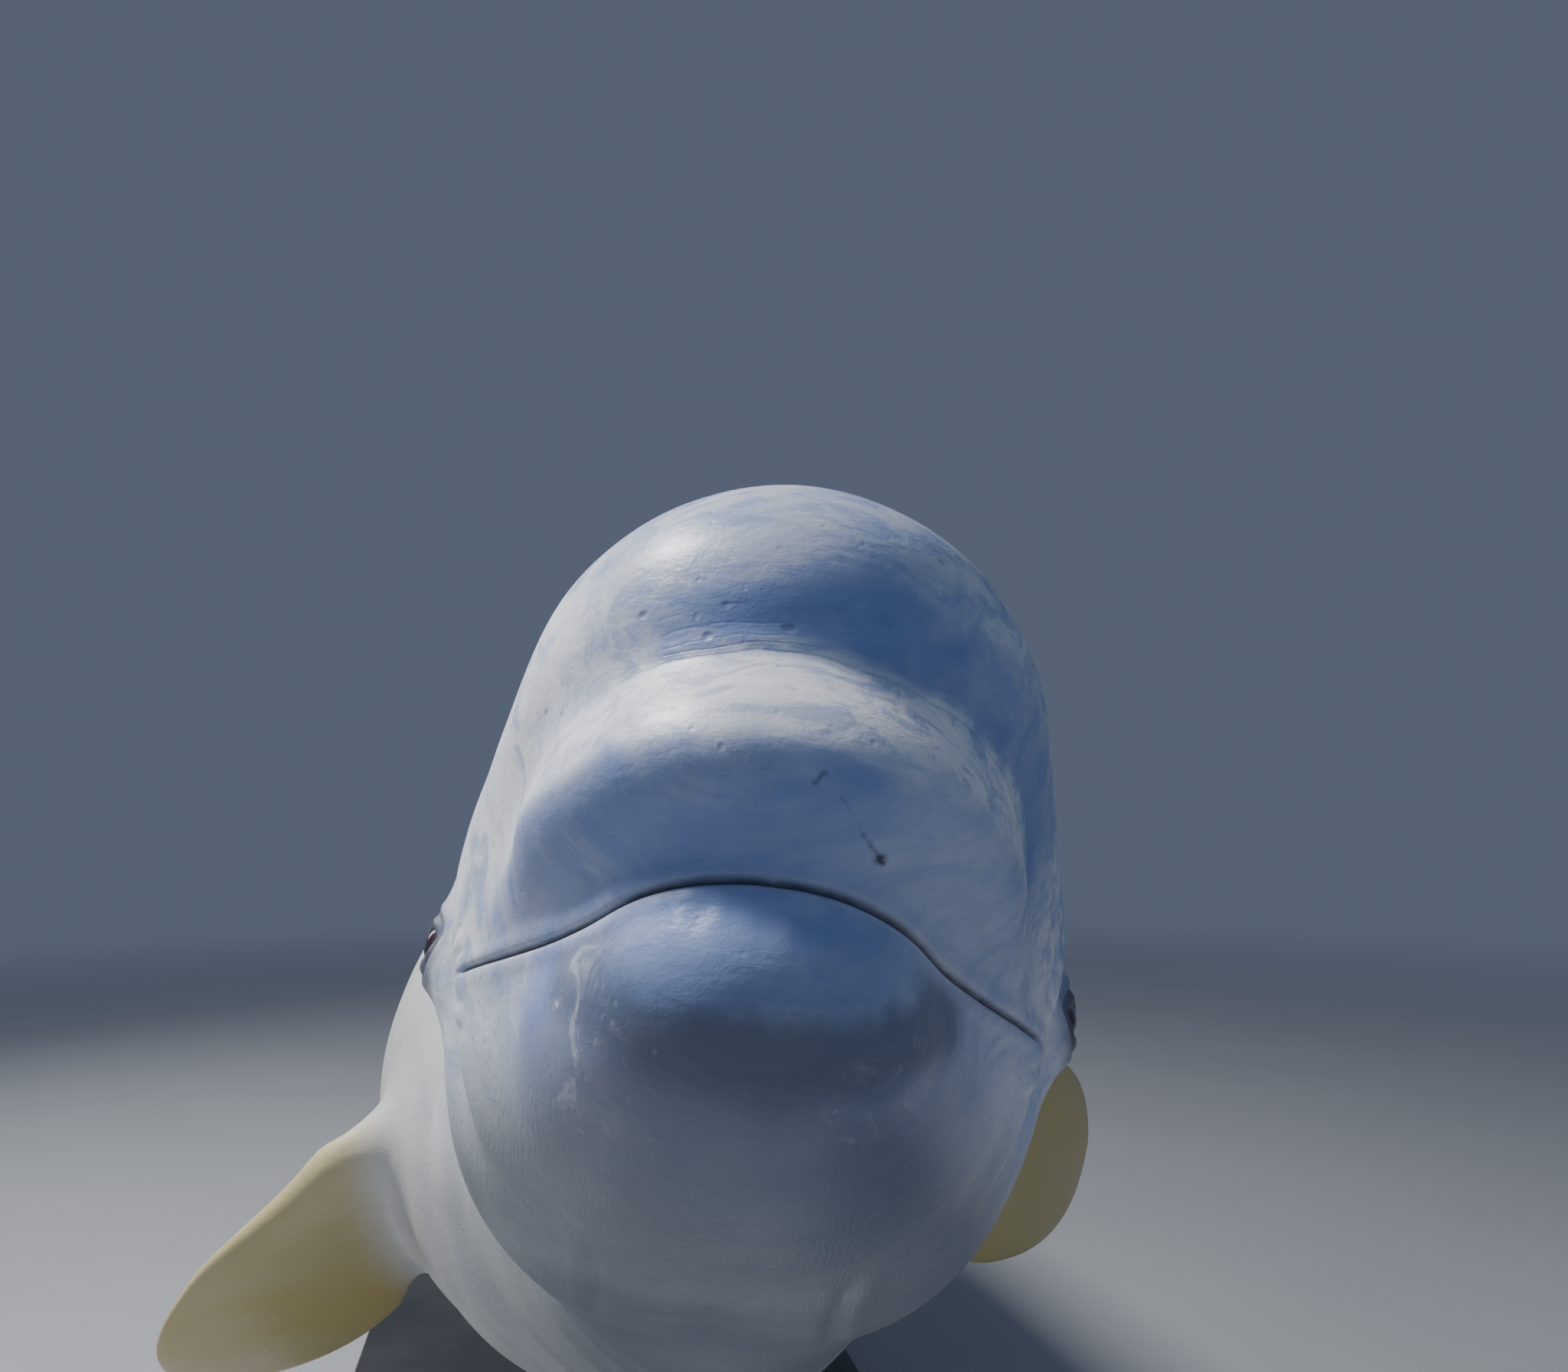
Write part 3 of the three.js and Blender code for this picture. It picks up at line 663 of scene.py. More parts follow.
def joined(base, fins):
    holder = as_object(base)
    tools = []
    for fin in fins:
        tools.append(as_object(fin))
        cut = holder.modifiers.new("join", "BOOLEAN")
        cut.operation = "UNION"
        cut.solver = "EXACT"
        cut.object = tools[-1]
    seen = holder.evaluated_get(bpy.context.evaluated_depsgraph_get())
    mesh = bpy.data.meshes.new_from_object(seen)
    for spare in (holder, *tools):
        bpy.data.objects.remove(spare)
    return mesh


for part in (trunk_skin, flukes, *flippers.values()):
    facing_out(part)
finned = joined(trunk_skin, [*flippers.values(), flukes])
print("trunk with fins", len(finned.polygons), "faces,", len(finned.vertices), "points")

# %% [markdown]
# ## One skin
# The head and the trunk share a ring of points, so welding them leaves no seam. Where a
# fin comes out, the sharp edge of the join is averaged away with its neighbours, more at
# the edge and less with distance. The skin near the eyes, the blowhole, the back's ridge,
# the belly's slit and the navel gets smaller faces first, because finer forms come next.

# %% Weld head and trunk
EYE = {"x": 180, "s": 287, "z": 15, "radius": 20}
BLOWHOLE = {"x": 12, "s": 350, "radius": 42, "arc": 62}
SLIT = {"from": 2440, "to": 2560}
NAVEL = 2060


def weld():
    work = bmesh.new()
    work.from_mesh(head)
    work.from_mesh(finned)
    seam = [v for v in work.verts if abs(v.co.y - SEAM) < 0.01]
    on_seam = set(seam)
    caps = [f for f in work.faces if on_seam.issuperset(f.verts)]
    bmesh.ops.delete(work, geom=caps, context="FACES_ONLY")
    bmesh.ops.remove_doubles(work, verts=seam, dist=0.05)
    return work


def smaller_faces(work, wanted):
    """Cuts each face in four where the function says so for its middle."""
    middles = np.array([f.calc_center_median() for f in work.faces])
    chosen = np.flatnonzero(wanted(middles))
    work.faces.ensure_lookup_table()
    edges = {e for i in chosen for e in work.faces[i].edges}
    bmesh.ops.subdivide_edges(work, edges=list(edges), cuts=1, use_grid_fill=True)


def crescent_distance(p):
    """Off the blowhole's slit, and how far round it, in degrees."""
    away = np.hypot(p[:, 0] - BLOWHOLE["x"], p[:, 1] - BLOWHOLE["s"])
    turn = np.degrees(np.arctan2(p[:, 0] - BLOWHOLE["x"], p[:, 1] - BLOWHOLE["s"]))
    slit = BLOWHOLE["radius"] - 3.5 * np.cos(np.radians(np.clip(turn * 90 / BLOWHOLE["arc"], -90, 90)))
    return np.where(p[:, 2] > 100, away - slit, 999), abs(turn)


def by_blowhole(reach):
    def wanted(p):
        off, turn = crescent_distance(p)
        return (abs(off) < reach) & (turn < BLOWHOLE["arc"] + 12)
    return wanted


def by_belly_marks(reach):
    def wanted(p):
        x, s, z = p.T
        by_slit = (s > SLIT["from"] - reach) & (s < SLIT["to"] + reach)
        return (abs(x) < reach) & (z < -150) & (by_slit | (abs(s - NAVEL) < reach))
    return wanted


def by_eyes(p):
    x, s, z = p.T
    return (np.hypot(s - EYE["s"], z - EYE["z"]) < 33) & (abs(x) > 120)


def by_ridge(p):
    x, s, z = p.T
    return (abs(x) < 55) & (z > 200) & (s > RIDGE["from"] - 30) & (s < RIDGE["to"] + 30)


work = weld()
smaller_faces(work, by_eyes)
for reach in (36, 12, 6):
    smaller_faces(work, by_blowhole(reach))
smaller_faces(work, by_ridge)
for reach in (60, 30, 16):
    smaller_faces(work, by_belly_marks(reach))
print("one skin of", len(work.faces), "faces")

# %% Smooth the fins into the trunk
FILLET = 62.0
ROOT_WELD = {"reach": 12, "shortest": 2.5}
ROOT_EDGES = (18, 11)
SMOOTHING = {"rounds": 60, "pull": 0.6}
BEHIND_HEAD = 700


def edge_ends(work):
    return np.array([[v.index for v in e.verts] for e in work.edges])


def by_fin_roots(work):
    """The points, and how far each lies from the nearest root edge of a fin."""
    work.verts.index_update()
    work.verts.ensure_lookup_table()
    p = np.array([v.co for v in work.verts])
    fin = (distance(p) > 0.6) & (p[:, 1] > BEHIND_HEAD)
    edges = edge_ends(work)
    mixed = edges[fin[edges[:, 0]] != fin[edges[:, 1]]]
    roots = np.unique(np.where(fin[mixed[:, 0]], mixed[:, 1], mixed[:, 0]))
    tree = kdtree.KDTree(len(roots))
    for i in roots:
        tree.insert(p[i], int(i))
    tree.balance()
    close = np.full(len(p), 999.0)
    for i in np.flatnonzero(p[:, 1] > BEHIND_HEAD):
        close[i] = tree.find(p[i])[2]
    return p, close


def cut_many_sided(work):
    bmesh.ops.triangulate(work, faces=[f for f in work.faces if len(f.verts) > 4])


p, close = by_fin_roots(work)
crowded = [work.verts[i] for i in np.flatnonzero(close < ROOT_WELD["reach"])]
bmesh.ops.remove_doubles(work, verts=crowded, dist=ROOT_WELD["shortest"])
cut_many_sided(work)
for longest in ROOT_EDGES:
    p, close = by_fin_roots(work)
    long_edges = [e for e in work.edges
                  if max(close[v.index] for v in e.verts) < FILLET * 0.8 and e.calc_length() > longest]
    bmesh.ops.subdivide_edges(work, edges=long_edges, cuts=1, use_grid_fill=True)
    cut_many_sided(work)
p, close = by_fin_roots(work)
one_end, other_end = edge_ends(work).T
from_ends, to_ends = np.append(one_end, other_end), np.append(other_end, one_end)
count = np.bincount(to_ends, minlength=len(p))[:, None]
weight = (SMOOTHING["pull"] * np.clip(1 - close / FILLET, 0, 1) ** 0.7)[:, None]
for _ in range(SMOOTHING["rounds"]):
    total = np.stack([np.bincount(to_ends, column[from_ends], len(p)) for column in p.T], -1)
    p += weight * (total / count - p)
print(int((close < FILLET).sum()), "points round the fins' roots smoothed")

# %% [markdown]
# ## Fine forms of the skin
# The skin is now pushed in and out along its own direction: the groove between the lips
# with a soft lip on each side, the crease under the melon with finer wrinkles along it,
# folds behind the mouth's corner and round the neck, the fat's rolls on the flanks, the
# ridge on the back, and the blowhole. Wrinkles beside the crease need no path of their
# own: the two soft forms that meet there already measure the way from it.


# %% Wrinkles and folds
# Each row is the height of a bead or groove, its place across the line, and its width.
LIP_ROWS = [(-2.8, 0, 1.3), (0.9, 4.5, 4.0), (0.6, -5.5, 3.5)]
CORNER_ROWS = [(-1.8, 14, 2.6), (-1.3, 27, 3.4), (0.9, 20, 4)]
HOLLOW_ROWS = [(-8.5, 0, 14), (2.5, -27, 12)]
CREASE_ROWS = [(-1.0, 1, 5.0), (-0.35, 13, 4.5), (0.3, 7, 3.5)]
THROAT_ROWS = [(-2.6, 0, 3.6), (1.1, 8, 6)]
SLIT_ROWS = [(-7, 0, 4), (3, 13, 9)]
NAVEL_ROWS = [(-5, 0, 8), (1.5, 16, 7)]
BLOWHOLE_ROWS = [(-12, 0, 2.6), (2.4, 8, 5.5), (2.0, -9, 7)]
# Each neck fold's place, depth and width.
NECK_FOLDS = [(452, 3.5, 8), (512, 5.0, 10), (585, 6.5, 12), (668, 6.0, 13), (758, 4.0, 14)]


def bell(value, width):
    return np.exp(-((value / width) ** 2))


def across(value, rows):
    return sum(height * bell(value - at, width) for height, at, width in rows)


def window(value, low, full, fading, gone):
    """1 from full to fading, 0 below low and above gone."""
    return smooth(value, low, full) * (1 - smooth(value, fading, gone))


def wavy(p, length, seed):
    """Soft random waves of about that length."""
    chance = np.random.default_rng(seed)
    total = np.zeros(len(p))
    for _ in range(7):
        way = chance.normal(size=3)
        way *= 2 * np.pi / length * chance.uniform(0.7, 1.4) / np.linalg.norm(way)
        total += np.sin(p @ way + chance.uniform(0, 2 * np.pi))
    return total / 3.5


def off_lips(p):
    """How far a point lies over the line between the lips."""
    return p[:, 2] - mouth_height(p[:, 1])


def mouth_forms(p):
    x, s, z = p.T
    off = off_lips(p)
    fade = 1 - smooth(s, MOUTH_CORNER, MOUTH_CORNER + 20)
    waves = wavy(p * np.array([1.0, 0.2, 0.12]), 13, 11)
    height = across(off, LIP_ROWS) + 0.35 * waves * bell(off + 14, 8) * (1 - smooth(s, 20, 70))
    behind = np.hypot(s - MOUTH_CORNER - 4, z - mouth_height(s) + 2)
    round_corner = smooth(s, MOUTH_CORNER + 3, MOUTH_CORNER + 12) * (abs(x) > 60)
    hollow = s - 243 - 0.10 * z - 2.0 * np.sin(z / 19)
    folds = across(behind, CORNER_ROWS) + across(hollow, HOLLOW_ROWS) * window(z, -125, -50, 25, 75)
    return height * fade + folds * round_corner, 0.35 * bell(off, 2.2) * fade


def off_crease(p):
    """How far a point lies from the crease, positive over it and negative under it."""
    lips, back = lips_and_back(p)
    return lips - back


def crease_forms(p):
    x, s, z = p.T
    where = smooth(z, -5, 14) * (1 - smooth(s, 60, 150)) * (1 - 0.75 * smooth(-x, 20, 90))
    return across(off_crease(p), CREASE_ROWS) * where, np.zeros(len(p))


def throat_forms(p):
    x, s, z = p.T
    line = abs(x) - 62 + 3 * np.sin(s / 31)
    return across(line, THROAT_ROWS) * window(s, 200, 230, 300, 350) * smooth(-z, 70, 95)


def neck_forms(p):
    x, s, z = p.T
    low = 0.3 + 0.7 * smooth(-z, -90, 120)
    height = np.zeros(len(p))
    for number, (place, depth, width) in enumerate(NECK_FOLDS):
        off = s - place - 14 * np.sin(z / 85 + number) - 9 * np.sin(x / 60 + 2 * number) - 0.12 * abs(z)
        height += across(off, [(-depth, 0, width), (0.5 * depth, 2 * width, 1.5 * width)])
    return height * low * smooth(s, 415, 470)


def flank_forms(p):
    x, s, z = p.T
    middle = (station(s, 1) + station(s, 2)) / 2
    turn = np.arctan2(z - middle, abs(x))
    roll = np.sin(turn * 350 * 2 * np.pi / 92 + 1.5 * np.sin(s / 230 + np.sign(x)) + 0.7 * np.sin(s / 97))
    where = window(-turn, 0.1, 0.5, 1.15, 1.4) * window(s, 950, 1250, 2350, 2900)
    return 5.5 * roll * where + 2.5 * wavy(p, 260, 5) * window(s, 560, 900, 3000, 3500)


def back_forms(p):
    x, s, z = p.T
    along = np.clip((s - RIDGE["from"]) / (RIDGE["to"] - RIDGE["from"]), 0, 1)
    bumps = np.sin(2 * np.pi * s / 64 + 0.8 * np.sin(s / 90))
    return 3.2 * bumps * np.sin(np.pi * along) * bell(x, 20) * (z > 150)


def belly_forms(p):
    x, s, z = p.T
    low = z < -150
    where = window(s, SLIT["from"], SLIT["from"] + 25, SLIT["to"] - 25, SLIT["to"]) * low
    dip = np.hypot(x, (s - NAVEL) / 1.6)
    height = across(abs(x), SLIT_ROWS) * where + across(dip, NAVEL_ROWS) * low
    return height, 0.5 * bell(x, 4) * where + 0.3 * bell(dip, 7) * low


def blowhole_forms(p):
    off, turn = crescent_distance(p)
    ends = 1 - smooth(turn, BLOWHOLE["arc"] - 14, BLOWHOLE["arc"] + 3)
    return across(off, BLOWHOLE_ROWS) * ends, bell(off, 2.4) * ends


def folded(p):
    """The points pushed in and out, and how deep in a crease each one is, which the finish paints as
    shade.
    """
    height = throat_forms(p) + neck_forms(p) + flank_forms(p) + back_forms(p)
    height += 0.5 * wavy(p, 70, 3) * (1 - smooth(p[:, 1], 300, 500))
    dark = np.zeros(len(p))
    for forms in (mouth_forms, crease_forms, belly_forms, blowhole_forms):
        rise, deep = forms(p)
        height += rise
        dark = np.maximum(dark, deep)
    on_body = 1 - smooth(distance(p), 0.5, 9)
    return p + outward(p) * (height * on_body)[:, None], dark * on_body


near_skin = (distance(p) < 3) & (close > FILLET)
for _ in range(2):
    p[near_skin] -= outward(p[near_skin]) * distance(p[near_skin])[:, None]
fin_share = smooth(distance(p), 2, 60)
p, dark = folded(p)
print("deepest crease", round(float(dark.max()), 2), "fin points", int((fin_share > 0.5).sum()))

# Fine lines are drawn by the finish, so it needs the ways across the crease and the lips.
lip_line = np.where(p[:, 1] < 250, off_lips(p), 99.0)
crease_line = off_crease(p)

# %% [markdown]
# ## Eyelids
# A beluga's eye is small and sits low on the side of the head, just behind the mouth's
# corner. Thick lids with little rims close round it. The lids are a height over the
# ball: inside the opening the skin dips behind the ball, at its edge it hugs the ball,
# and outside it rises to the rim and falls back through a fold to the cheek.

# %% Lids
OPENING = {"along": 13.0, "up": 8.6, "droop": 0.30}
LID = {"rise": 1.6, "wide": 4.5, "fold": 11.0, "end": 27.0, "gap": 0.35}
LID_ROWS = [(-1.6, LID["fold"], 2.4), (0.9, LID["fold"] + 5, 3.2), (-0.8, LID["fold"] + 10, 2.2)]


def eye_axes(side):
    out = np.array([side, -0.42, -0.04])
    out /= np.linalg.norm(out)
    along = np.array([0, 1.0, 0]) - out * out[1]
    along /= np.linalg.norm(along)
    up = np.cross(out, along)
    return along, up * np.sign(up[2]), out


def eye_centre(side):
    return np.array([side * EYE["x"], EYE["s"], EYE["z"]], float)


def lidded(p, dark, side):
    along, up, out = eye_axes(side)
    rest = p - eye_centre(side)
    a, b, c = rest @ along, rest @ up, rest @ out
    close = (c > -14) & (np.hypot(a, b) < 50)
    a, b, c = a[close], b[close], c[close]
    high = OPENING["up"] * (1 - OPENING["droop"] * np.clip(abs(a) / OPENING["along"], 0, 1) ** 2)
    share = np.hypot(a / OPENING["along"], b / high) + 1e-6
    reach = np.hypot(a, b)
    edge = reach / share
    beyond = reach - edge
    ball = np.sqrt(np.maximum(EYE["radius"] ** 2 - np.minimum(reach, edge) ** 2, 0))
    heavy = 1 + 0.35 * smooth(b, -3, 8)
    rim = LID["rise"] * heavy * bell(beyond - LID["wide"], LID["wide"]) + across(beyond, LID_ROWS)
    target = ball + LID["gap"] + np.where(beyond < 0, -6 * smooth(-beyond, 0, 3.0), rim)
    keep = 1 - smooth(beyond, 7, LID["end"])
    moved = p.copy()
    moved[close] += out * (keep * (target - c))[:, None]
    dark = dark.copy()
    # Painted shade along the opening's edge and in the lid's fold.
    dark[close] = np.maximum(dark[close], across(beyond, [(0.9, -0.2, 1.1), (0.3, LID["fold"], 2.0)]))
    return moved, dark


# Painted shade round each eye, strongest close to it.
eye_shade = np.zeros(len(p))
for side in (1, -1):
    p, dark = lidded(p, dark, side)
    away = np.linalg.norm(p - eye_centre(side) - 16 * eye_axes(side)[2], axis=1)
    eye_shade = np.maximum(eye_shade, 1 - smooth(away, 13, 42))
print("lids round both eyes")

# %% [markdown]
# ## Into the pose
# Until here the whale was straight, which kept every rule simple. Its spine now carries
# each point to its place: the body noses up and banks, the neck lifts and turns the
# head, and the tail bends up to the flukes. The straight places stay on the skin as an
# attribute, so that every marking follows the body and not the room.

# %% Pose
POSE = {"body_up": 7, "bank": 4.5, "head_up": 18, "head_turn": 9, "head_twist": 4.5,
        "neck_from": 380, "neck_to": 780, "tail_up": 12, "tail_from": 2200, "tail_to": 3700}
PIVOT_S = 1500
SPINE_STEP = 10


def turns(axis, degrees):
    """Turning matrices about x, y or z."""
    c, s = np.cos(np.radians(degrees)), np.sin(np.radians(degrees))
    made = np.zeros((len(c), 3, 3))
    i, j = [(1, 2), (2, 0), (0, 1)][axis]
    made[:, axis, axis] = 1
    made[:, i, i] = made[:, j, j] = c
    made[:, i, j], made[:, j, i] = -s, s
    return made


def turn_at(s):
    neck = 1 - smooth(s, POSE["neck_from"], POSE["neck_to"])
    tail = smooth(s, POSE["tail_from"], POSE["tail_to"])
    return (turns(0, POSE["tail_up"] * tail - POSE["body_up"]) @ turns(2, -POSE["head_turn"] * neck)
            @ turns(0, -POSE["head_up"] * neck) @ turns(1, POSE["bank"] + POSE["head_twist"] * neck))


SPINE_S = np.arange(-200, 4201, SPINE_STEP).astype(float)
SPINE_TURN = turn_at(SPINE_S)
steps = turn_at(SPINE_S[1:] - SPINE_STEP / 2)[:, :, 1] * SPINE_STEP
SPINE_AT = np.concatenate([np.zeros((1, 3)), np.cumsum(steps, 0)])
SPINE_AT += PIVOT - SPINE_AT[np.flatnonzero(SPINE_S == PIVOT_S)[0]]


def posed(p):
    i = np.clip(((p[:, 1] - SPINE_S[0]) / SPINE_STEP).astype(int), 0, len(SPINE_S) - 2)
    t = ((p[:, 1] - SPINE_S[i]) / SPINE_STEP)[:, None]
    place = SPINE_AT[i] * (1 - t) + SPINE_AT[i + 1] * t
    turn = SPINE_TURN[i] * (1 - t[:, None]) + SPINE_TURN[i + 1] * t[:, None]
    return place + turn[:, :, 0] * p[:, :1] + turn[:, :, 2] * p[:, 2:]


def dressed(name, p, mesh, attributes, nodes):
    """A piece of the whale in metres, with its straight places and other attributes."""
    mesh.vertices.foreach_set("co", (posed(p) * MM).astype(np.float32).ravel())
    straight = mesh.attributes.new("straight", "FLOAT_VECTOR", "POINT")
    straight.data.foreach_set("vector", (p * MM).astype(np.float32).ravel())
    for key, values in attributes.items():
        mesh.attributes.new(key, "FLOAT", "POINT").data.foreach_set("value", values.astype(np.float32))
    mesh.update()
    mesh.shade_smooth()
    piece = as_object(mesh)
    piece.name = name
    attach(piece, "root")
    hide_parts(*nodes)
    return piece


def unfold(work):
    """A triangle lying back on a quad is a flat fold: one triangle takes the place of both."""
    for flap in [f for f in work.faces if len(f.verts) == 3]:
        for under in {f for e in flap.edges for f in e.link_faces if len(f.verts) == 4}:
            if set(flap.verts) <= set(under.verts):
                corners = list(under.verts)
                far = next(i for i in range(4) if corners[i] not in flap.verts)
                lost = [e for e in flap.edges if set(e.link_faces) == {flap, under}]
                work.faces.remove(flap)
                work.faces.remove(under)
                work.faces.new((corners[far - 1], corners[far], corners[(far + 1) % 4]))
                for edge in lost:
                    work.edges.remove(edge)
                break


FLESH = ["head", "lower_jaw", "neck", "torso_front", "torso_rear", "tail_stock",
         "flipper_left", "flipper_right", "fluke_left", "fluke_right"]
unfold(work)
bmesh.ops.recalc_face_normals(work, faces=work.faces)
skin_mesh = bpy.data.meshes.new("skin")
work.to_mesh(skin_mesh)
work.free()
# The crease and lid attributes carry the painted shade in the skin's folds and round the eyes.
skin = dressed("skin", p, skin_mesh, {
    "crease": dark, "fin": fin_share, "painted_lid_shade": eye_shade, "lip_line": np.clip(lip_line, -60, 60),
    "crease_line": np.clip(crease_line, -60, 60)}, FLESH)
corners = np.array([len(face.vertices) for face in skin_mesh.polygons])
print("skin of", int((corners - 2).sum()), "triangles")

# %% [markdown]
# ## The colour of the skin
# An adult beluga is white, with a faint blue-grey mottling. Painted shade darkens the skin
# where it folds, lies blue over the crease, on the snout and on the lower lip, lies slate
# under the lower lip and greys the throat, and painted light whitens the lip's top and the
# melon's lit side. The photograph also shows cloudy streaks across the melon, small dark
# pits, a short scar and a nick on the upper lip, a ring of faint pits on the snout, pale
# scuffs beside the painted shadow under the lower lip, and fine wavy lines on the throat.
# Fins and flanks look warmer, as old skin does before it is shed. All of it is mixed from
# noise and a few placed marks, by the skin's straight places.


# %% Skin finish
# Each mark's darkness, its two ends in metres of the straight skin, and its reach.
MARKS = [
    (0.7, (0.0290, 0.0030, -0.0154), (0.0380, 0.0150, -0.0205), 0.0017),
    (0.3, (0.0195, -0.0095, -0.0087), (0.0290, 0.0030, -0.0154), 0.0013),
    (0.7, (0.0098, -0.0137, -0.0066), (0.0124, -0.0151, -0.0039), 0.0016)]
SCAR_END = ((0.0368, 0.0130, -0.0200), 0.0040)
RING_MIDDLE = (-0.013, -0.011, -0.008)
# Of these colours, the deep blue, throat, slate, lid, crease and lips colours are painted shade, and the
# lip top and pale side whites are painted light.
PAINT = {"white": (0.72, 0.75, 0.80), "mottle": (0.34, 0.43, 0.63), "streak": (0.20, 0.31, 0.60),
         "fine": (0.30, 0.40, 0.64), "bright": (0.90, 0.90, 0.92), "painted_shade_blue": (0.10, 0.18, 0.48),
         "painted_light_lip_top": (0.92, 0.92, 0.94), "dapple": (0.22, 0.31, 0.58), "painted_light_side_white": (0.90, 0.91, 0.94),
         "throat": (0.120, 0.142, 0.172), "warm": (0.56, 0.46, 0.19), "painted_shadow_slate": (0.05, 0.064, 0.088),
         "scuff": (0.90, 0.91, 0.93), "pit": (0.15, 0.19, 0.34), "small_pit": (0.30, 0.34, 0.48),
         "rake": (0.42, 0.46, 0.55), "scar": (0.06, 0.07, 0.12), "ring": (0.20, 0.26, 0.45),
         "painted_lid_shade": (0.055, 0.062, 0.095), "wrinkle": (0.14, 0.20, 0.40), "crease": (0.05, 0.055, 0.08),
         "lips": (0.02, 0.025, 0.045)}
def pitted(finish, place, size, seed, share):
    """Round spots at random, 1 in the middle: a share of the cells of that size has one."""
    shifted = finish.vector("ADD", place, (seed, 2.7 * seed, 0.4 * seed))
    cells = finish.node("ShaderNodeTexVoronoi", None, {"Vector": shifted, "Scale": 1 / size})
    colour = Value(finish, cells.socket.node.outputs["Color"])
    pick = finish.node("ShaderNodeSeparateColor", None, [colour])
    return cells, finish.step(pick, 1 - share - 0.01, 1 - share + 0.01)


def skin_finish():
    f = Finish("whale_skin", Roughness=0.42, Coat_Weight=0.10, Coat_Roughness=0.22,
               Subsurface_Weight=0.06, Subsurface_Scale=0.012, IOR=1.42)
    place = f.attribute("straight")
    x, s, z = f.parts(place)
    crease, fin, painted_lid_shade = (f.attribute(name, "Fac") for name in ("crease", "fin", "painted_lid_shade"))
    lip_line, crease_line = (f.attribute(name, "Fac") for name in ("lip_line", "crease_line"))
    head = f.below(s, 0.25, 0.62)
    low = f.below(z, -0.10, 0.02)

    # Painted shade and light: blue shade over the crease, on the snout and the lower lip, a white
    # highlight on the lip's top and on the melon's lit side, and grey shade on the throat.
    front = f.below(s, 0.09, 0.20)
    drift = (f.noise(f.stretched(place, 12.0, 26.0, 26.0), 1.0, 4.0, 0.6) - 0.5) * 44.0
    painted_shade_over_crease = f.step(crease_line + drift * 0.4, 0.0, 8.0) * f.below(crease_line + drift, 20.0, 62.0)
    painted_shade_over_crease = painted_shade_over_crease * front * f.step(x, -0.100, -0.020)
    # Painted light: the lip's top is whitened where light falls on it.
    painted_light_lip_top = f.below(crease_line, -7.0, 1.0) * f.step(crease_line + drift, -52.0, -18.0) * front
    painted_light_lip_top = painted_light_lip_top * f.step(z, 0.0, 0.012)
    painted_shade_on_snout = f.step(lip_line, -1.0, 4.0) * f.below(lip_line + drift, 26.0, 54.0) * front
    painted_shade_throat = f.below(z, -0.110, -0.045) * f.below(s, 0.50, 0.95)

    # Mottling from large to small.
    cloud = f.noise(place, 7.0, 5.0, 0.55, 0.4)
    streak = f.noise(f.stretched(place, 9.0, 34.0, 30.0), 1.0, 4.0, 0.55, 0.8)
    fine = f.noise(f.stretched(place, 40.0, 150.0, 190.0), 1.0, 3.0, 0.6, 0.5)
    speck = f.noise(place, 260.0, 2.0, 0.6)
    colour = f.mix(f.step(cloud, 0.36, 0.66) * (0.35 + 0.40 * head), PAINT["white"], PAINT["mottle"])

    def paint(share, name):
        nonlocal colour
        colour = f.mix(share, colour, PAINT[name])

    streaky = f.step(streak, 0.46, 0.68) * (0.16 + 0.50 * head) * (1 - 0.65 * low)
    paint(streaky, "streak")
    paint(f.step(fine, 0.50, 0.75) * (0.12 + 0.22 * head), "fine")
    paint(f.below(streak, 0.30, 0.44) * 0.55 * (0.4 + 0.6 * head), "bright")
    dapple = f.step(f.noise(f.stretched(place, 26.0, 95.0, 85.0), 1.0, 4.0, 0.62, 0.9), 0.47, 0.60)
    # Painted blue shade over the crease, on the snout and on the lower lip.
    blue = painted_shade_over_crease * 0.88 + painted_shade_on_snout * 0.66 + f.below(lip_line, -5.0, 0.0) * front * 0.60
    paint(blue * (0.70 + 0.30 * f.step(cloud, 0.3, 0.7)), "painted_shade_blue")
    paint(painted_light_lip_top * (0.80 - 0.50 * f.step(streak, 0.46, 0.70)), "painted_light_lip_top")
    paint(dapple * f.step(z, -0.01, 0.02) * head * 0.52, "dapple")
    # Painted light: the melon's lit side is whitened.
    lit_side = f.below(x, -0.125, -0.060) * f.step(z, -0.02, 0.03) * head
    paint(lit_side * (0.65 - 0.45 * f.step(streak, 0.46, 0.66)), "painted_light_side_white")
    # Painted shade greys the throat.
    paint(painted_shade_throat * 0.76, "throat")
    warm = f.step(s, 0.42, 1.0) * 0.32 + fin * (0.80 - 0.55 * f.step(s, 2.4, 3.2))
    paint(warm * (0.6 + 0.5 * cloud), "warm")

    # Painted shadow, slate and ragged below, under the lip's sides, with pale scuffs beside it.
    ragged = (f.noise(place, 38.0, 5.0, 0.65) - 0.5) * 0.5
    middle_lip = f.near(f.stretched(place, 0.8, 0.5, 1.6), (0.0, 0.012, -0.0768), 0.085)
    painted_jaw_shadow = f.below(lip_line, -12.0, -2.0) * f.below(middle_lip + ragged, 0.28, 0.56)
    painted_jaw_shadow = painted_jaw_shadow * f.step(z - x * x * 5.3 + ragged * 0.03, -0.106, -0.092) * f.below(s, 0.078, 0.108)
    paint(painted_jaw_shadow * 0.54, "painted_shadow_slate")
    scuffs = f.noise(f.stretched(place, 70.0, 26.0, 50.0), 1.0, 5.0, 0.65, 1.2)
    jaw_side = f.near(place, (-0.074, 0.080, -0.070), 0.055)
    jaw_side = jaw_side + f.near(place, (0.055, 0.060, -0.085), 0.05) * 0.3
    paint(f.step(scuffs, 0.54, 0.70) * jaw_side * 0.6, "scuff")

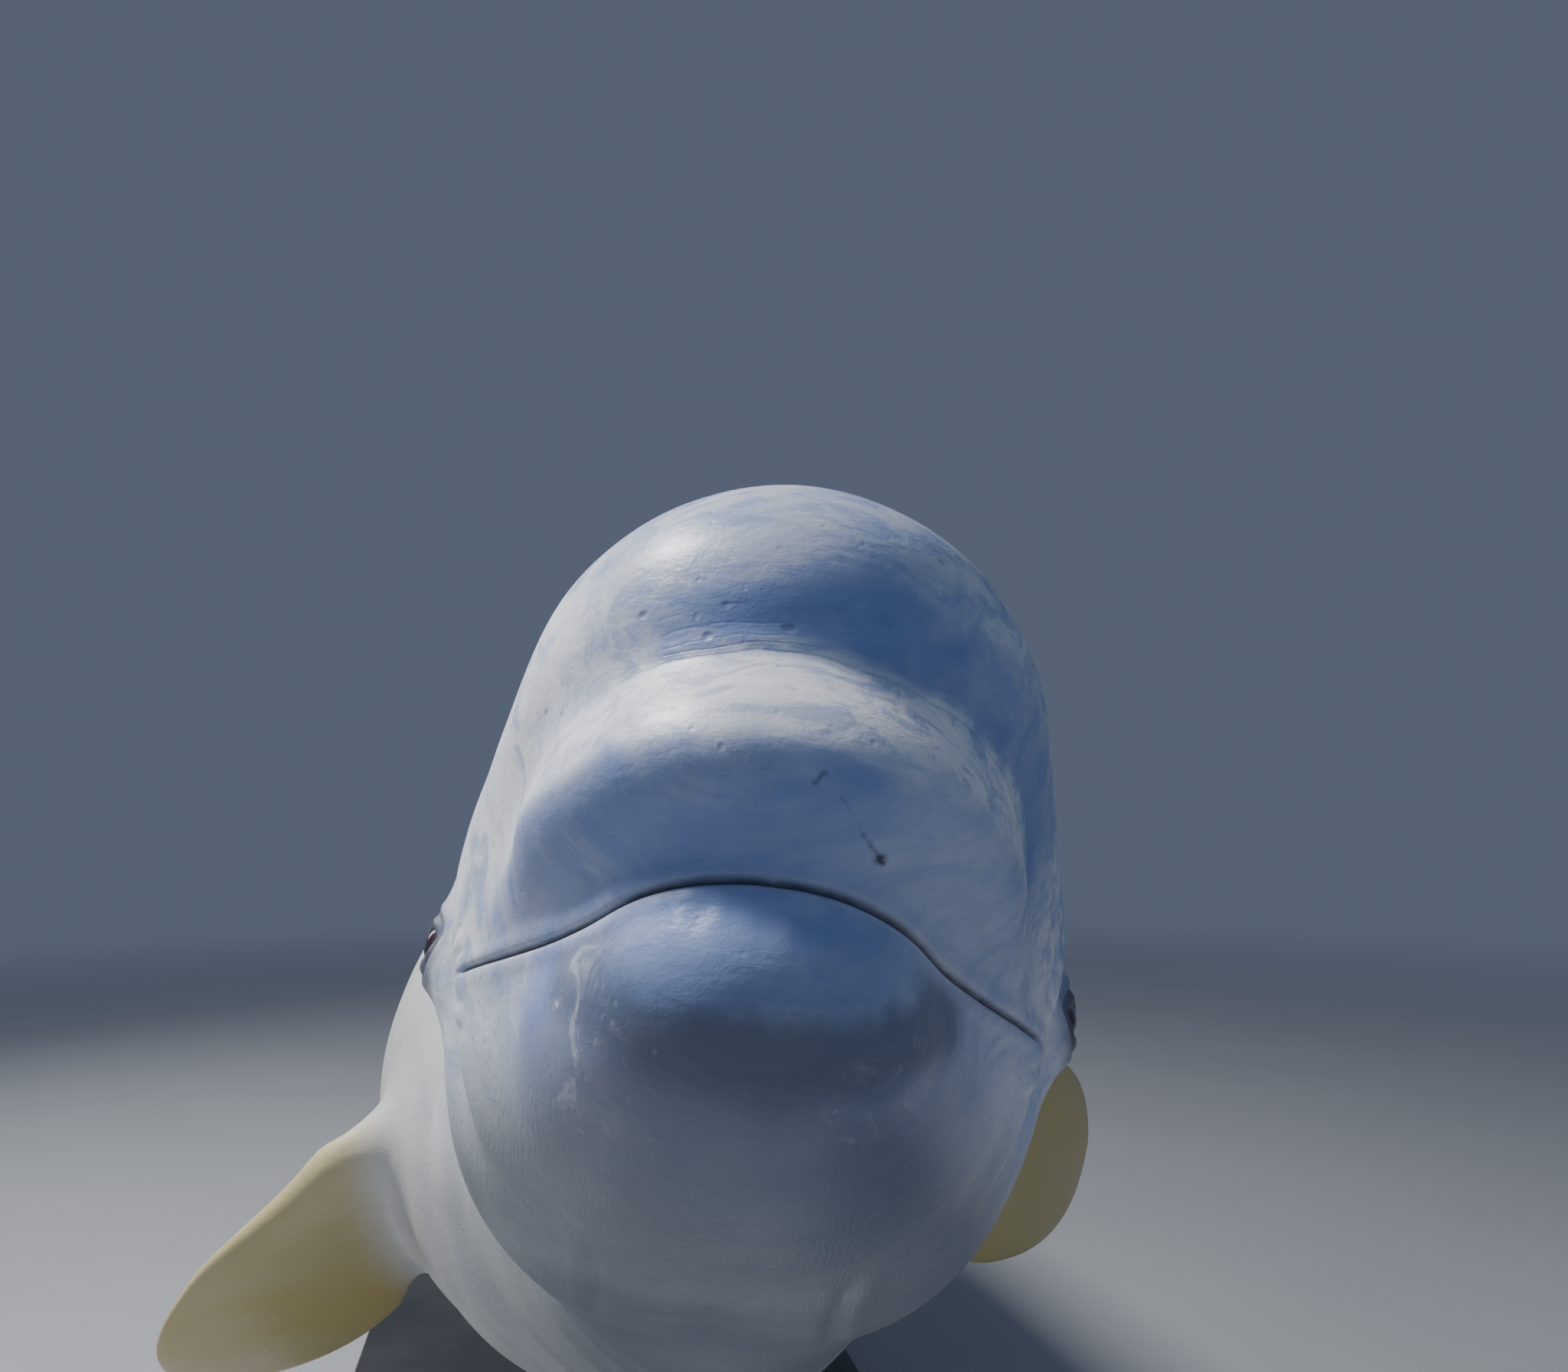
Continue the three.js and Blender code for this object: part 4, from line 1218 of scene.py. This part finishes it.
    # Pits, mostly on the melon.
    cells, chosen = pitted(f, f.stretched(place, 0.8, 1.2, 1.2), 0.019, 3.1, 0.50)
    melon = f.step(z, 0.02, 0.06) * head
    pits = f.below(cells, 0.04, 0.17) * chosen * (0.20 + 0.80 * melon)
    small_cells, small_chosen = pitted(f, place, 0.009, 7.7, 0.30)
    small = f.below(small_cells, 0.05, 0.22) * small_chosen * (0.3 + 0.7 * head)
    paint(pits * 0.70, "pit")
    paint(small * 0.35, "small_pit")

    # Scar, nick and ring of faint pits on the upper lip, with uneven edges.
    uneven = f.node(
        "ShaderNodeTexNoise", None, {"Vector": place, "Scale": 240.0, "Detail": 2.0}, out="Color")
    uneven = f.vector("MULTIPLY_ADD", uneven, (0.0022,) * 3, place)
    uneven = f.vector("SUBTRACT", uneven, (0.0011,) * 3)
    marks = f.near(uneven, *SCAR_END)
    for share, start, end, reach in MARKS:
        marks = marks + f.near_line(uneven, start, end, reach) * share
    from_ring = f.vector("DISTANCE", uneven, RING_MIDDLE, out="Value")
    ring = f.line(from_ring, 0.0085, 0.0006, 0.0034) * f.step(f.noise(place, 420.0, 2.0), 0.50, 0.62)

    # Long faint rakes on the body.
    rakes = f.noise(f.stretched(place, 3.0, 3.5, 60.0), 1.6, 2.0, 0.4, 0.2)
    here = f.step(f.noise(place, 3.1, 1.0), 0.53, 0.62) * f.step(s, 0.5, 0.9)
    rake = f.line(rakes, 0.5, 0.0, 0.010) * here
    paint(rake * 0.30, "rake")
    paint(marks * 0.80, "scar")
    paint(ring * 0.25, "ring")
    # Painted shade round the eyes.
    paint(painted_lid_shade * (0.84 + 0.2 * fine), "painted_lid_shade")

    # Painted shade along the groove between the lips, and fine wrinkles along the melon's crease.
    shaky = lip_line + (f.noise(place, 90.0, 2.0) - 0.5) * 0.9
    lips = f.line(shaky, 0.0, 0.2, 1.5) * f.below(s, 0.196, 0.208)
    wander = crease_line + (f.noise(f.stretched(place, 22.0, 60.0, 60.0), 1.0, 2.0) - 0.5) * 9.0
    patchy = f.step(f.noise(f.stretched(place, 30.0, 70.0, 70.0), 1.0, 3.0), 0.38, 0.55)
    wrinkles = f.line(wander, 0.5, 0.1, 1.6) * 0.7
    for at, share in ((5.0, 0.5), (9.0, 0.35), (14.5, 0.4), (21.0, 0.25), (-6.0, 0.2)):
        wrinkles = wrinkles + f.line(wander, at, 0.0, 1.0) * patchy * share
    wrinkles = wrinkles * f.step(z, 0.0, 0.016) * f.below(s, 0.07, 0.15) * f.step(x, -0.095, -0.030)
    paint(wrinkles * 0.35, "wrinkle")
    # Painted shade darkens the creases, slits and folds.
    paint(crease * 0.85, "crease")
    # Painted shade darkens the groove between the lips.
    f.set(Base_Color=f.mix(lips * 0.85, colour, PAINT["lips"]))

    wave = f.node("ShaderNodeTexWave", {"wave_type": "BANDS", "bands_direction": "X"}, {
        "Vector": f.stretched(place, 1.0, 0.35, 0.35), "Scale": 95.0, "Distortion": 9.0, "Detail": 2.0,
        "Detail Scale": 1.4})
    throat = low * f.step(s, 0.06, 0.16) * f.below(s, 0.5, 0.9)
    pores = f.noise(place, 900.0, 2.0, 0.6)
    height = 0.5 + fine * 0.55 + speck * 0.30 + pores * 0.12 + streak * 0.6
    height = height + wave * throat * 0.12 - pits * 0.7 - small * 0.3 - marks * 1.0 - ring * 0.25
    height = height - wrinkles * 0.40 - lips * 1.0
    f.bump(height * 0.3, 0.0030, 0.75)
    f.set(Roughness=0.36 + speck * 0.14 + crease * 0.25)
    return f.material


skin_mesh.materials.append(skin_finish())
print("skin finish of", len(skin_mesh.materials[0].node_tree.nodes), "nodes")

# %% [markdown]
# ## Eyes
# The ball of a whale's eye is flattened in front under a thick clear cornea. The iris is
# dark brown, and the pupil is wide and low. One lathe-like mesh with a slight bulge makes
# it, and its own attribute tells the finish how far each point is off the eye's axis.

# %% Eye balls
EYE_LOOK = {"iris": 8.6, "pupil_along": 4.0, "pupil_up": 2.4, "bulge": 1.1, "rings": 48, "around": 72}
EYE_PAINT = {"iris": (0.014, 0.007, 0.009), "rays": (0.060, 0.028, 0.028),
             "iris_edge": (0.020, 0.012, 0.018), "pupil": (0.004, 0.005, 0.008),
             "ball": (0.055, 0.040, 0.048), "veins": (0.075, 0.036, 0.042), "behind": (0.05, 0.03, 0.03)}


def eye_ball(side):
    along, up, out = eye_axes(side)
    turn = np.linspace(0, np.pi, EYE_LOOK["rings"])[1:-1]
    around = 2 * np.pi * np.arange(EYE_LOOK["around"]) / EYE_LOOK["around"]
    t, w = np.meshgrid(turn, around, indexing="ij")
    radius = EYE["radius"] + EYE_LOOK["bulge"] * np.exp(-((t * EYE["radius"] / EYE_LOOK["iris"]) ** 4))
    local = radius[..., None] * np.stack([np.sin(t) * np.cos(w), np.sin(t) * np.sin(w), np.cos(t)], -1)
    front = np.array([[0, 0, EYE["radius"] + EYE_LOOK["bulge"]]])
    local = np.concatenate([local.reshape(-1, 3), front, [[0, 0, -EYE["radius"]]]])
    n, last = EYE_LOOK["around"], len(turn) - 1
    faces = tube_faces(len(turn), n)
    for k in range(n):
        faces.append([len(local) - 2, k, (k + 1) % n])
        faces.append([len(local) - 1, last * n + (k + 1) % n, last * n + k])
    p = eye_centre(side) + local[:, :1] * along + local[:, 1:2] * up + local[:, 2:] * out
    name = "left" if side > 0 else "right"
    mesh = mesh_of("eye_ball_" + name, p, faces)
    facing_out(mesh)
    mesh.attributes.new("eye", "FLOAT_VECTOR", "POINT").data.foreach_set(
        "vector", local.astype(np.float32).ravel())
    piece = dressed("eye_ball_" + name, p, mesh, {}, ["eye_" + name])
    return piece


def eye_finish():
    f = Finish("whale_eye", Roughness=0.10, Coat_Weight=1.0, Coat_Roughness=0.03, IOR=1.38)
    a, b, c = f.parts(f.attribute("eye"))
    off = (a * a + b * b) ** 0.5
    turn = f.node("ShaderNodeMath", {"operation": "ARCTAN2"}, [b, a])
    rays = f.noise(f.node("ShaderNodeCombineXYZ", None, [turn * 5.0, off * 0.25, 0.0]), 2.2, 4.0, 0.6)
    pupil = (a * a / EYE_LOOK["pupil_along"] ** 2 + b * b / EYE_LOOK["pupil_up"] ** 2) ** 0.5
    iris = f.mix(f.step(rays, 0.35, 0.7), EYE_PAINT["iris"], EYE_PAINT["rays"])
    iris = f.mix(f.step(off, 5.5, EYE_LOOK["iris"]) * 0.6, iris, EYE_PAINT["iris_edge"])
    ball = f.mix(f.step(rays, 0.4, 0.7) * 0.4, EYE_PAINT["ball"], EYE_PAINT["veins"])
    colour = f.mix(f.step(off, 8.2, 9.2), iris, ball)
    colour = f.mix(f.below(pupil, 0.86, 1.06), colour, EYE_PAINT["pupil"])
    f.set(Base_Color=f.mix(f.below(c, -2.0, 6.0), colour, EYE_PAINT["behind"]))
    return f.material


eye_material = eye_finish()
for side in (1, -1):
    ball = eye_ball(side)
    ball.data.materials.append(eye_material)
print("two eyes of", len(ball.data.polygons), "faces")

# %% [markdown]
# ## Display stand
# The whale swims, so something has to take the water's place: two steel rods from a heavy
# plinth. Plinth and foot plates are profiles run round an outline, with small bevels
# that catch the light. Each rod ends in a felt-lined cup that is cut to the belly by
# casting its rings upwards onto the skin. The bolts that hold the foot plates repeat
# round a circle, so Geometry Nodes place them. The finishes come first.

# %% Finishes of the stand
STEEL = {"clean": (0.60, 0.61, 0.62), "stained": (0.468, 0.4758, 0.4836), "smoothest": 0.24}


def steel_finish():
    f = Finish("brushed_steel", Metallic=1.0)
    place = f.place()
    brush = f.noise(f.stretched(place, 1.0, 1.0, 26.0), 34.0, 4.0, 0.6)
    stain = f.noise(place, 9.0, 3.0)
    f.set(Base_Color=f.mix(f.step(stain, 0.35, 0.7) * 0.5, STEEL["clean"], STEEL["stained"]))
    f.set(Roughness=STEEL["smoothest"] + brush * 0.16 + f.step(stain, 0.5, 0.8) * 0.08)
    f.bump(brush, 0.00012, 0.6)
    return f.material


def lacquer_finish():
    f = Finish("dark_lacquer", Roughness=0.45, Coat_Weight=0.25, Coat_Roughness=0.2)
    place = f.place()
    peel = f.noise(place, 420.0, 2.0)
    dust = f.noise(place, 5.0, 5.0, 0.6)
    f.set(Base_Color=f.mix(f.step(dust, 0.4, 0.75) * 0.5, (0.030, 0.032, 0.036), (0.062, 0.063, 0.066)))
    f.set(Roughness=0.36 + 0.18 * dust)
    f.bump(peel, 0.0002, 0.4)
    return f.material


def felt_finish():
    f = Finish("grey_felt", Roughness=0.95, Sheen_Weight=0.4)
    place = f.place()
    fibre = f.noise(place, 900.0, 4.0, 0.7, 1.0)
    f.set(Base_Color=f.mix(fibre, (0.10, 0.10, 0.11), (0.22, 0.22, 0.23)))
    f.bump(fibre, 0.0008, 0.7)
    return f.material


lacquer, steel, felt = lacquer_finish(), steel_finish(), felt_finish()

# %% Plinth and foot plates
BASE = {"length": 1900, "width": 1000, "thick": 36, "corner": 90, "behind": 250}
ROD = {"radius": 32, "foot": 95, "foot_thick": 16, "gap": 0.3}
RODS = {"front": 1180, "rear": 2250}
SHARP = math.radians(40)
ROUND = 96
# Each row is how far a profile lies in from the outline, and its height.
BASE_PROFILE = [(9, 0), (9, 5), (1.2, 6.5), (0, 8), (0, 31), (0.6, 33.6), (2.4, 35.4), (5, 36)]
FOOT_PROFILE = [(0.8, 0), (0, 0.8), (0, 12.4), (0.5, 14.2), (1.8, 15.6), (3.6, 16)]
ROD_PROFILE = [(0.8, 0), (0, 0.8), (0, 60)]


def round_rectangle(width, length, corner, inset):
    """Points round a rectangle with rounded corners, moved in by the inset."""
    points = []
    for number, (sx, sy) in enumerate([(1, -1), (1, 1), (-1, 1), (-1, -1)]):
        turn = np.radians(np.linspace(-90, 0, 15) + 90 * number)
        middle = np.array([sx * (width / 2 - corner), sy * (length / 2 - corner)])
        points.append(middle + (corner - inset) * np.stack([np.cos(turn), np.sin(turn)], -1))
    return np.concatenate(points)


def circle_points(radius):
    turn = 2 * np.pi * np.arange(ROUND) / ROUND
    return radius * np.stack([np.cos(turn), np.sin(turn)], -1)


def built(name, rings, finish, node=None):
    """A closed piece in metres, from rings of points in millimetres of the room."""
    mesh = tube_mesh(name, [ring * MM for ring in rings])
    facing_out(mesh)
    mesh.shade_smooth()
    mesh.set_sharp_from_angle(angle=SHARP)
    mesh.materials.append(finish)
    piece = as_object(mesh)
    piece.name = name
    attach(piece, "root")
    if node:
        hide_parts(node)


def raised(outline, height, middle):
    return np.column_stack([outline + middle, np.full(len(outline), float(height))])


base_middle = PIVOT[:2] + (0, BASE["behind"])
built("stand_plinth", [
    raised(round_rectangle(BASE["width"], BASE["length"], BASE["corner"], inset), height, base_middle)
    for inset, height in BASE_PROFILE], lacquer, "stand_base")
rod_at = {name: posed(np.array([[0.0, s, 0.0]]))[0] for name, s in RODS.items()}
foot_low = BASE["thick"] + ROD["gap"]
foot_high = foot_low + ROD["foot_thick"]
for name, at in rod_at.items():
    rings = [raised(circle_points(ROD["foot"] - inset), foot_low + height, at[:2])
             for inset, height in FOOT_PROFILE]
    built("stand_plate_" + name, rings, steel, node="stand_foot_" + name)
print("plinth and two foot plates, rods at", {k: v.round().tolist() for k, v in rod_at.items()})

# %% Rods, cups and felts
skin_tree = bvhtree.BVHTree.FromObject(skin, bpy.context.evaluated_depsgraph_get())


def under_belly(points):
    """Height of the belly over each point, in millimetres."""
    heights = []
    for x, y in points:
        hit = skin_tree.ray_cast(Vector((x * MM, y * MM, 0.1)), Vector((0, 0, 1)))[0]
        heights.append(hit.z / MM)
    return np.array(heights)


def fitted(at, radius, drop):
    """A circle round a rod, everywhere the same drop under the belly."""
    ring = circle_points(radius) + at[:2]
    return np.column_stack([ring, under_belly(ring) - drop])


# Each row is a ring's radius and its drop under the belly.
INNER = ROD["radius"] + 0.4
CUP = [(INNER, 34), (ROD["radius"] + 5, 33), (52, 15), (58, 11), (58, 6.5), (INNER, 6.5)]
FELT = [(20, 6.2), (56, 6.2), (57.5, 4.5), (57.5, 1.5), (56, 0.3), (20, 0.3)]
ROD_TOP = (ROD["radius"], 9)
for name, at in rod_at.items():
    rings = [raised(circle_points(ROD["radius"] - inset), foot_high + ROD["gap"] + height, at[:2])
             for inset, height in ROD_PROFILE]
    built("stand_bar_" + name, [*rings, fitted(at, *ROD_TOP)], steel, node="stand_rod_" + name)
    built("stand_cup_" + name, [fitted(at, *row) for row in CUP], steel)
    built("stand_felt_" + name, [fitted(at, *row) for row in FELT], felt)
print("rods reach the belly at", [round(float(under_belly([at[:2]])[0])) for at in rod_at.values()], "mm")

# %% Bolts by Geometry Nodes
BOLT = {"Circle": 66, "Head": 7.5, "Height": 7, "Socket": 4.0, "Washer": 11}
BOLT_COUNT = 6
BOLT_LIFT = 0.2


def bolt_tree():
    tree = bpy.data.node_groups.new("bolt_circle", "GeometryNodeTree")
    tree.interface.new_socket("Geometry", in_out="OUTPUT", socket_type="NodeSocketGeometry")
    for name in BOLT:
        tree.interface.new_socket(name, in_out="INPUT", socket_type="NodeSocketFloat")
    tree.interface.new_socket("Count", in_out="INPUT", socket_type="NodeSocketInt")
    given = add_node(tree, "NodeGroupInput").outputs

    def made(kind, **sockets):
        return add_node(tree, kind, None, sockets).outputs[0]

    def drum(sides, radius, depth, lift):
        body = made("GeometryNodeMeshCylinder", Vertices=sides, Radius=radius, Depth=depth)
        rise = add_node(tree, "ShaderNodeMath", {"operation": "MULTIPLY_ADD"}, [depth, 0.5, lift])
        up = made("ShaderNodeCombineXYZ", Z=rise.outputs[0])
        return made("GeometryNodeTransform", Geometry=body, Translation=up)

    thick, socket_floor, through = 0.0016, 0.0046, 0.02
    washer = drum(32, given["Washer"], thick, 0.0)
    head = drum(28, given["Head"], given["Height"], thick)
    hexagon = drum(6, given["Socket"], through, socket_floor)
    cut = add_node(tree, "GeometryNodeMeshBoolean", {"operation": "DIFFERENCE"}, {
        "Mesh 1": head, "Mesh 2": hexagon}).outputs["Mesh"]
    bolt = add_node(tree, "GeometryNodeJoinGeometry")
    for part in (washer, cut):
        tree.links.new(part, bolt.inputs[0])
    ring = made("GeometryNodeMeshCircle", Vertices=given["Count"], Radius=given["Circle"])
    placed = made("GeometryNodeInstanceOnPoints", Points=ring, Instance=bolt.outputs[0])
    real = made("GeometryNodeRealizeInstances", Geometry=placed)
    final = made("GeometryNodeSetMaterial", Geometry=real, Material=steel)
    add_node(tree, "NodeGroupOutput", None, [final])
    return tree


tree = bolt_tree()
keys = {item.name: item.identifier for item in tree.interface.items_tree if item.in_out == "INPUT"}
for name, at in rod_at.items():
    holder = as_object(bpy.data.meshes.new("bolts"))
    circle = holder.modifiers.new("bolts", "NODES")
    circle.node_group = tree
    for size, value in BOLT.items():
        circle[keys[size]] = value * MM
    circle[keys["Count"]] = BOLT_COUNT
    mesh = bpy.data.meshes.new_from_object(holder.evaluated_get(bpy.context.evaluated_depsgraph_get()))
    bpy.data.objects.remove(holder)
    mesh.transform(Matrix.Translation(Vector((at[0], at[1], foot_high + BOLT_LIFT)) * MM))
    bolts = as_object(mesh)
    bolts.name = "stand_bolts_" + name
    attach(bolts, "root")
    print(bolts.name, len(mesh.polygons), "faces")

# %% Sizes and the end
scene_box = [list(corner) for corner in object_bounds()]
for label, box in (("solids", cad_box), ("dressed", scene_box)):
    print(label, [[round(v, 3) for v in corner] for corner in box])
